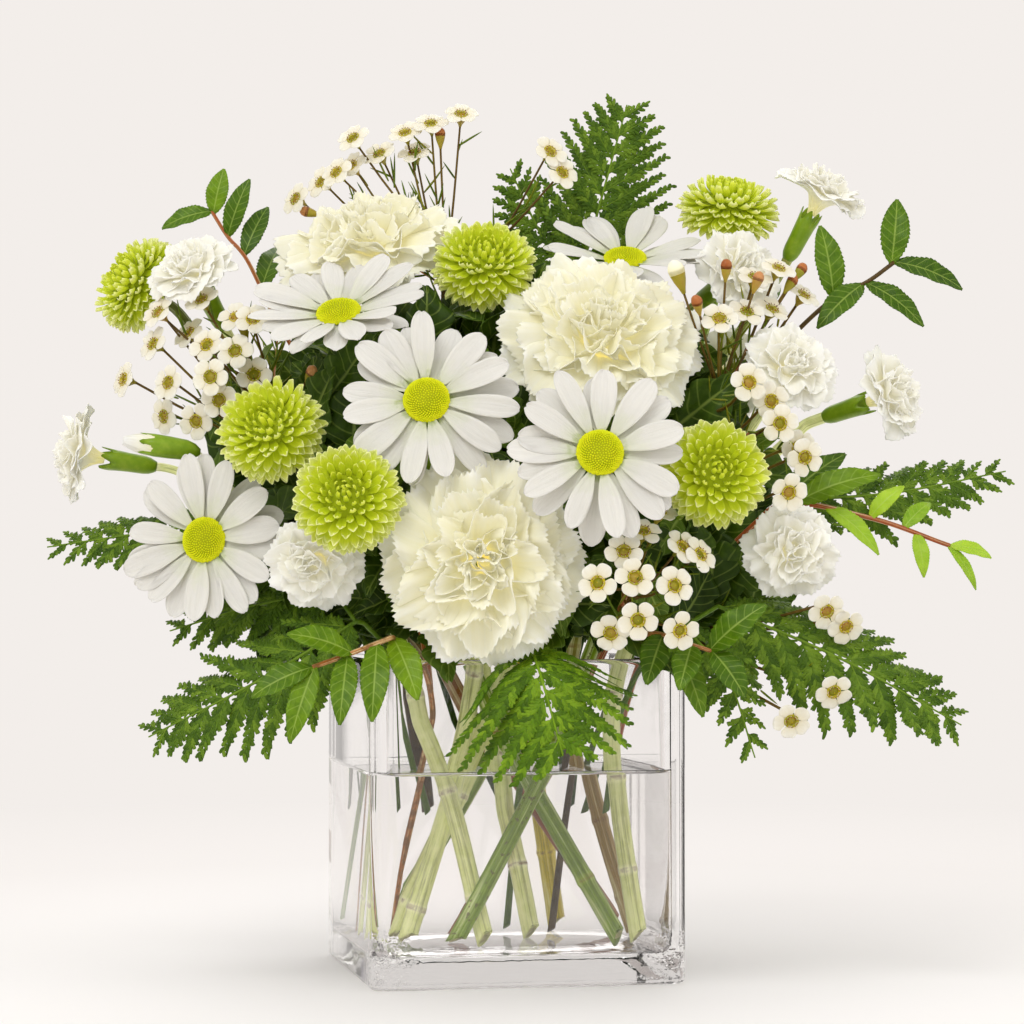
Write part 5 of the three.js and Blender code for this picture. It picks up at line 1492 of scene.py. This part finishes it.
def leaves_between(piece, name, rng):
    """Adds the leaves that grow from one plant, with their stalks."""
    for stalk, tip, width, looks in LEAVES_BETWEEN[name]:
        piece.tube(stalk, 0.85, "stem_leaf", 8, rng.uniform(0, 1))
        points = lobed_leaf(stalk[-1], tip, width, looks, rng)
        piece.shells(points, 0.36, "mum_leaf", draw=rng.uniform(0, 1))


def needled_twig(piece, line, thin, rng, every=2.1, first=0.0):
    """A twig of wax flower with its narrow leaves standing round it."""
    run = distances(line)
    along = np.gradient(line, axis=0)
    angle = rng.uniform(0, 6)
    for at in np.arange(first, run[-1], every):
        base = np.array([np.interp(at, run, line[:, k]) for k in range(3)])
        ahead = unit([np.interp(at, run, along[:, k]) for k in range(3)])
        side = unit(np.cross(ahead, [0.2, 0.3, 0.9]))
        angle += GOLDEN
        out = math.cos(angle) * side + math.sin(angle) * np.cross(ahead, side)
        way = unit(ahead + rng.uniform(0.5, 1.0) * out)
        long = rng.uniform(10, 17) * min(1, 0.5 + at / 12)
        if clear_of_heads(np.array([base + way * long]), 0, 60):
            needle(piece, base + out * thin * 0.5, way, long, rng)


def side_twigs(piece, run, count, rng):
    """Short leafy side shoots along a branch of wax flower, where the heads leave room."""
    line = stem_line(run)
    high = line[line[:, 2] > MOUTH + 20]
    if len(high) < 4:
        return
    for k in range(count):
        base = high[int((k + 0.5) / count * (len(high) - 2))]
        for _ in range(14):
            way = unit(rng.normal(0, 1, 3) * [1, 1, 0.6] + [0, 0, 0.9])
            long = rng.uniform(26, 48)
            bend = base + way * long * 0.55 + [0, 0, 1.5]
            twig = evenly([base, bend, base + way * long + [0, 0, 5]], 8)
            if clear_of_heads(twig[2:], 0, 70):
                piece.tube(twig, np.linspace(0.55, 0.35, 9), "twig_red", 6, rng.uniform(0, 1))
                needled_twig(piece, twig, 0.5, rng, first=5)
                break


def small_bud(piece, at, root, rng, paint, size):
    """A closed bud of wax flower on its own short stalk."""
    way = unit(at - root)
    angles = round_angles(12)
    ribbed = 1 + 0.05 * np.cos(5 * angles)
    profile = ((0.5, -5.2), (0.9, -3.8), (1.7, -1.6), (2.15, 0.4), (2.3, 1.6), (2.0, 2.9), (1.2, 3.9),
               (0.25, 4.3))
    rings = placed(np.array([polar(r * size * ribbed, angles, z * size) for r, z in profile]), at, way)
    piece.lathe(rings[:5], "wax_calyx", rng.uniform(0, 1))
    piece.lathe(rings[3:], paint, rng.uniform(0, 1))
    neck = at - way * 5 * size
    piece.tube(evenly([root, (root + neck) / 2 + [0, 0, -1], neck], 5), 0.5, "twig_brown", 6, 0.5)



# ------------------------------------------------------------------ the pieces

def cad_tree(name):
    """The CAD node's surface, to look up what is near it."""
    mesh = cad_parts[name].data
    return BVHTree.FromPolygons([v.co for v in mesh.vertices], [p.vertices for p in mesh.polygons])


STEM_LOOKS = {  # the paint, and the step between a stem's nodes
    "carnation_top_stem": ("stem_pale", 44), "carnation_right_stem": ("stem_pale", 46),
    "carnation_front_stem": ("stem_pale", 40), "daisy_left_stem": ("stem_green", 60),
    "daisy_right_stem": ("stem_green", 0), "carnation_back_stem": ("stem_yellow", 42),
    "mum_left_stem": ("stem_dark", 0), "mum_right_stem": ("stem_spotted", 0),
    "spray_left_stem": ("stem_pale", 38), "spray_right_stem": ("stem_pale", 40),
    "spray_back_stem": ("stem_grey", 38),
}


def root_on(run, point):
    """The place on a strand from which a leaf or a twig at a point grows."""
    return nearest_on(stem_line(run), np.asarray(point, float))


# A stem's own leaves: the height of the first, the step and the turn from one to the next, how
# many heights are tried, and their length and width.
STEM_LEAF = {"first": 165, "step": 34, "turn": 2.4, "tries": 4, "length": 36, "width": 11}
NEAR = 0.0012  # as near as this, in metres, a leaf's tip is one of the frame's


def stem_leaves(made, tree):
    """The leaves that the frame's node has, found by the rule that grew them."""
    found = []
    for branch, run in enumerate(made):
        for i in range(STEM_LEAF["tries"]):
            height = STEM_LEAF["first"] + i * STEM_LEAF["step"]
            above = run.points[:, 2] > height
            root = int(np.argmax(above)) if above.any() else -1
            if height >= 300 or root < 2 or root > len(run.points) - 9:
                continue
            angle = branch * 1.7 + i * STEM_LEAF["turn"]
            base = root_on(run, run.points[root])
            tip = base + STEM_LEAF["length"] * unit([math.cos(angle), math.sin(angle), 0.75])
            near = tree.find_nearest(Vector(to_part([tip])[0]))
            if near[3] is not None and near[3] < NEAR:
                found.append((base, tip))
    return found


def plant_piece(name, made):
    """The stems of one plant, with their cut ends, cups, own leaves and the leaves between."""
    rng = seeded(name)
    paint, step = STEM_LOOKS[name]
    piece = Piece()
    for i, run in enumerate(made):
        head = HEADS[run.head]
        line = stem_line(run)
        ease = np.linspace(1.06, 0.94, len(line))
        radii, knots = knotted(line, run.radius, step * (0.8 if i else 1), rng)
        slant = 0 if i else 0.9
        if slant:
            cut = [line[0] - [0, 0, 0.3], line[0] + unit(line[1] - line[0])]
            piece.tube(cut, radii[0] * 0.72, "pith", 14, slant=slant)
        piece.tube(line, radii * ease, paint, 14, slant=slant, knots=knots)
        calyx(piece, head, rng, "calyx" if head["kind"] in (CARNATION, SPRAY) else paint)
    for base, tip in stem_leaves(made, cad_tree(name)):
        points = leaf_grid(base, tip, STEM_LEAF["width"], 21, 7, rng, 0.04)
        piece.shells(points, 0.35, "stem_leaf", draw=rng.uniform(0, 1))
    leaves_between(piece, name, rng)
    bud = PLANTS[name].get("bud")
    if bud:
        closed_bud(piece, made[bud["on"]], bud, rng)
    piece.build("dressed_" + name, name)


def closed_bud(piece, run, bud, rng):
    """A spray carnation's bud: a long green cup that just opens over folded petals."""
    base, tip = np.array(bud["base"], float), np.array(bud["tip"], float)
    axis = unit(tip - base)
    root = root_on(run, base - 0.6 * (tip - base))
    piece.tube(evenly([root, (root + base) / 2 + [0, 0, -1], base], 10), 1.1, "stem_pale", 10, 0.6)
    long = np.linalg.norm(tip - base)
    angles = round_angles(30)
    wave = np.cos(5 * angles)
    rings = [polar(r + 0.08 * wave, angles, z * long + tooth * wave)
             for r, z, tooth in ((1.2, -0.05, 0), (3.0, 0.03, 0), (4.1, 0.15, 0), (4.5, 0.4, 0),
                                 (4.6, 0.6, 0.6), (4.2, 0.74, 2.4), (3.9, 0.72, 2.4), (3.4, 0.5, 0))]
    piece.lathe(placed(np.array(rings), base, axis), "calyx", 0.5)
    petals = []
    u, v = grid(12, 9)
    for i in range(6):
        r = 3.7 * np.sin(math.pi / 2 * np.clip(1.5 - 1.35 * u, 0, 1)) + 0.5
        turn = v * 0.75 + i * math.pi / 3 + 0.5 * u
        r = r + 0.25 * np.sin(9 * v + i) * u
        petals.append(polar(r, turn, long * (0.45 + 0.6 * u) - 0.6 * v**2 * u))
    petals = placed(np.array(petals), base, axis)
    piece.shells(petals, THIN_PETAL, "spray_petal", draw=rng.uniform(0, 1, 6))


NEEDLES = 5  # on each floret's twig
FAR = 1e9


def wax_piece(name, made, branches):
    """Branches of wax flower. Each floret's twig grows from the nearest point of its branch that
    is below the floret, above the mouth and not among the last six taken."""
    rng = seeded(name)
    piece = Piece()
    dark = "twig_red" if name == "wax_right" else "twig_brown"
    for i, (run, branch) in enumerate(zip(made, branches)):
        line = stem_line(run)
        wet = 1.1 * np.clip((150 - line[:, 2]) / 40, 0, 1)
        radii = wet + branch["radius"] * np.linspace(1.1, 0.8, len(line))
        piece.tube(line, radii, dark, 12, slant=0 if i else 0.8,
                   knots=0.25 * (np.sin(np.arange(len(line)) * 0.31) > 0.96))
        high = line[line[:, 2] > MOUTH + 24]
        if len(high) > 3:
            needled_twig(piece, high, branch["radius"], rng, every=1.8)
        side_twigs(piece, run, branch.get("shoots", 0), rng)
        for at, kind in branch.get("buds", []):
            at = np.array(at, float)
            root = root_on(run, at - [0, 0, 14])
            small_bud(piece, at, root, rng, kind, 1.0 if kind == "copper_bud" else 1.5)
        centre = run.points[-1]
        taken = set()
        for at in branch["florets"] + branch.get("more", []):
            face = np.array(at, float)
            looks = unit(unit(face - centre) + [0, -0.95, 0.2])
            cost = np.linalg.norm(run.points - face, axis=1)
            cost = cost + 1.2 * np.maximum(0, run.points[:, 2] - face[2] + 8)
            cost[list(taken)[-6:]] = FAR
            cost[run.points[:, 2] < MOUTH + 4] = FAR
            pick = int(np.argmin(cost))
            taken.add(pick)
            root = root_on(run, run.points[pick])
            floret_body(piece, face, looks, root, branch["radius"] * 0.45, rng)
            for _ in range(NEEDLES):
                share = rng.uniform(0.35, 0.9)
                base = root + (face - looks * 6.5 - root) * share
                out = rng.normal(0, 1, 3)
                way = unit(unit(face - root) * 0.9 + 0.75 * unit(out))
                needle(piece, base, way, rng.uniform(9, 15), rng)
    piece.build("dressed_" + name, name)


# The ferns that aren't of the middle green: a lighter copy of it, painted light, on the front fern, and
# a darker copy, painted shade, on the two back ones.
FERN_LOOKS = {"fern_front": "fern_painted_light", "fern_back_left": "fern_painted_shade",
              "fern_back_right": "fern_painted_shade"}


def fern_piece(name, run):
    """A fern's stem, and its blades on stalks from the stem's end."""
    rng = seeded(name)
    piece = Piece()
    paint = FERN_LOOKS.get(name, "fern_mid")
    fern = FERNS[name]
    line = stem_line(run)
    piece.tube(line, fern["radius"] * np.linspace(1.1, 0.7, len(line)), paint, 10, 0.6, slant=0.8)
    end = run.points[-1]
    for i, blade in enumerate(fern["blades"]):
        base, second = np.array(blade["rib"][:2], float)
        inward = base + 0.08 * (second - base)
        if i:
            stalk = [end, (end + base) / 2, base, inward]
        else:
            stalk = [end - (inward - end) * 0.1, end, inward]
        piece.tube(np.array(stalk), fern["radius"] * 0.62, paint, 8, 0.6)
        fern_blade(piece, blade, paint, rng)
    piece.build("dressed_" + name, name)


def sprig_piece(name, made, branches):
    """A leafy sprig. The leaves at one sprig's end are young."""
    rng = seeded(name)
    piece = Piece()
    twig = "twig_brown" if name == "sprig_top_right" else "twig_red"
    for i, (run, branch) in enumerate(zip(made, branches)):
        line = stem_line(run)
        radii = branch["radius"] * np.linspace(1.1, 0.65, len(line))
        piece.tube(line, radii, twig, 10, rng.uniform(0, 1), slant=0 if i else 0.8)
        for base, tip, width in branch["leaves"]:
            young = name == "sprig_right" and i == 0 and width < 10
            points = leaf_grid(root_on(run, base), tip, width, 49, 9, rng, 0.1 if young else 0.03, 16)
            piece.shells(points, 0.34, "young_leaf" if young else "glossy_leaf", draw=rng.uniform(0, 1))
    piece.build("dressed_" + name, name)


CUPPED_DAISIES = {"daisy_top_left": 0.22, "daisy_top_right": 0.2}  # how steeply their petals rise
# Of each ruffled head: its whorls, the place of its claws, its size, the rows and columns of a
# petal, and its paint.
CARNATION_LOOK = (CARNATION_WHORLS, (2.4, -26), 1.0, (17, 61), "cream_petal")
SPRAY_LOOK = (SPRAY_WHORLS, (1.5, -14.5), 0.6, (13, 37), "spray_petal")


def head_piece(name, head):
    rng = seeded(name)
    piece = Piece()
    kind = head["kind"]
    if kind is MUM:
        mum_head(piece, head, rng)
        piece.build("dressed_" + name, name + "_head")
    elif kind is DAISY:
        petals = daisy_petals(rng, CUPPED_DAISIES.get(name, 0.0))
        spots = at_head(petals, head, rng.uniform(0, 6))
        piece.shells(spots, 0.34, "daisy_petal", draw=rng.uniform(0, 1, len(petals)))
        piece.build("dressed_" + name + "_petals", name + "_petals")
        disc = Piece()
        daisy_disc(disc, head, rng)
        disc.build("dressed_" + name + "_disc", name + "_disc")
    else:
        large = kind is CARNATION
        ruffled_head(piece, head, *(CARNATION_LOOK if large else SPRAY_LOOK), rng)
        piece.build("dressed_" + name, name + "_petals")


glass_vase()
water_body()
for name, head in HEADS.items():
    head_piece(name, head)
for name in PLANTS:
    plant_piece(name, runs[name])
for name, branches in WAX.items():
    wax_piece(name, runs[name], branches)
for name in FERNS:
    fern_piece(name, runs[name][0])
for name, branches in SPRIGS.items():
    sprig_piece(name, runs[name], branches)

# ------------------------------------------------------------------ the studio

BACKDROP = srgb(243, 238, 234)
DAYLIGHT = (1.0, 0.985, 0.96, 1)
DARK_SIDES = srgb(120, 112, 128)  # what the glass mirrors from the sides
LAMPS = {  # place, width and power
    "key": ((-0.9, -1.3, 1.7), 1.2, 15), "fill": ((1.5, -1.2, 0.9), 1.4, 4),
    "back": ((0.4, 1.6, 1.5), 1.4, 7)}
AIM = Vector((0, 0, 0.16))


def studio():
    """A pale backdrop. It lights as daylight does, and the glossy see dark bands at its sides."""
    scene = bpy.context.scene
    scene.view_settings.view_transform = "Standard"
    world = bpy.data.worlds.new("studio")
    scene.world = world
    world.use_nodes = True
    world.node_tree.nodes.clear()
    s = Shading(world.node_tree)
    plain = lambda colour, strength: s.add("Background", {0: colour, 1: strength})
    ray = lambda kind: s.add("LightPath", {}, kind)
    aside = s.math("ABSOLUTE", s.part_of(s.add("TexCoord", {}, "Generated"), "X"))
    band = s.stretch(aside, 0.9, 0.97, 0, 0.75)
    mirrored = s.blend(band, plain(BACKDROP, 0.75), plain(DARK_SIDES, 1))
    lit = s.blend(ray("Is Diffuse Ray"), plain(BACKDROP, 1), plain(DAYLIGHT, 0.84))
    out = world.node_tree.nodes.new("ShaderNodeOutputWorld")
    s.join(s.blend(ray("Is Glossy Ray"), lit, mirrored), out.inputs[0])
    for name, (at, size, power) in LAMPS.items():
        light = bpy.data.lights.new(name, "AREA")
        light.shape, light.size, light.energy = "DISK", size, power
        lamp = show(name, light)
        lamp.location = at
        lamp.rotation_euler = (AIM - Vector(at)).to_track_quat("-Z", "Y").to_euler()
        lamp.visible_camera = False


def floor():
    """A wide pale floor that fades with distance into the backdrop. Near the middle its colour is
    painted paler, to lighten the shadow round the vase.
    """
    p = Paint("studio_floor", Roughness=0.75, Specular_IOR_Level=0.2)
    away = p.add("VectorMath", {0: p.position()}, "Value", operation="LENGTH")
    # Painted light: the floor is paler near the middle, which lightens the shadow round the vase.
    p.colour(p.mix(p.stretch(away, 0.16, 0.5), srgb(251, 248, 247), srgb(241, 237, 235)))
    p.finish(p.stretch(away, 0.28, 1.0), p.add("Emission", {0: BACKDROP}))
    sides = 64
    points = [(0, 0, 0)]
    faces = []
    for ring, r in enumerate((0.3, 1, 3, 9)):
        first = len(points)
        points += [(r * math.cos(a), r * math.sin(a), 0) for a in round_angles(sides)]
        for k in range(sides):
            n = (k + 1) % sides
            inner = (first - sides + k, first + k, first + n, first - sides + n)
            faces.append(inner if ring else (0, first + k, first + n))
    mesh = bpy.data.meshes.new("floor")
    mesh.from_pydata(points, [], faces)
    mesh.materials.append(p.material)
    show("floor", mesh)


studio()
floor()
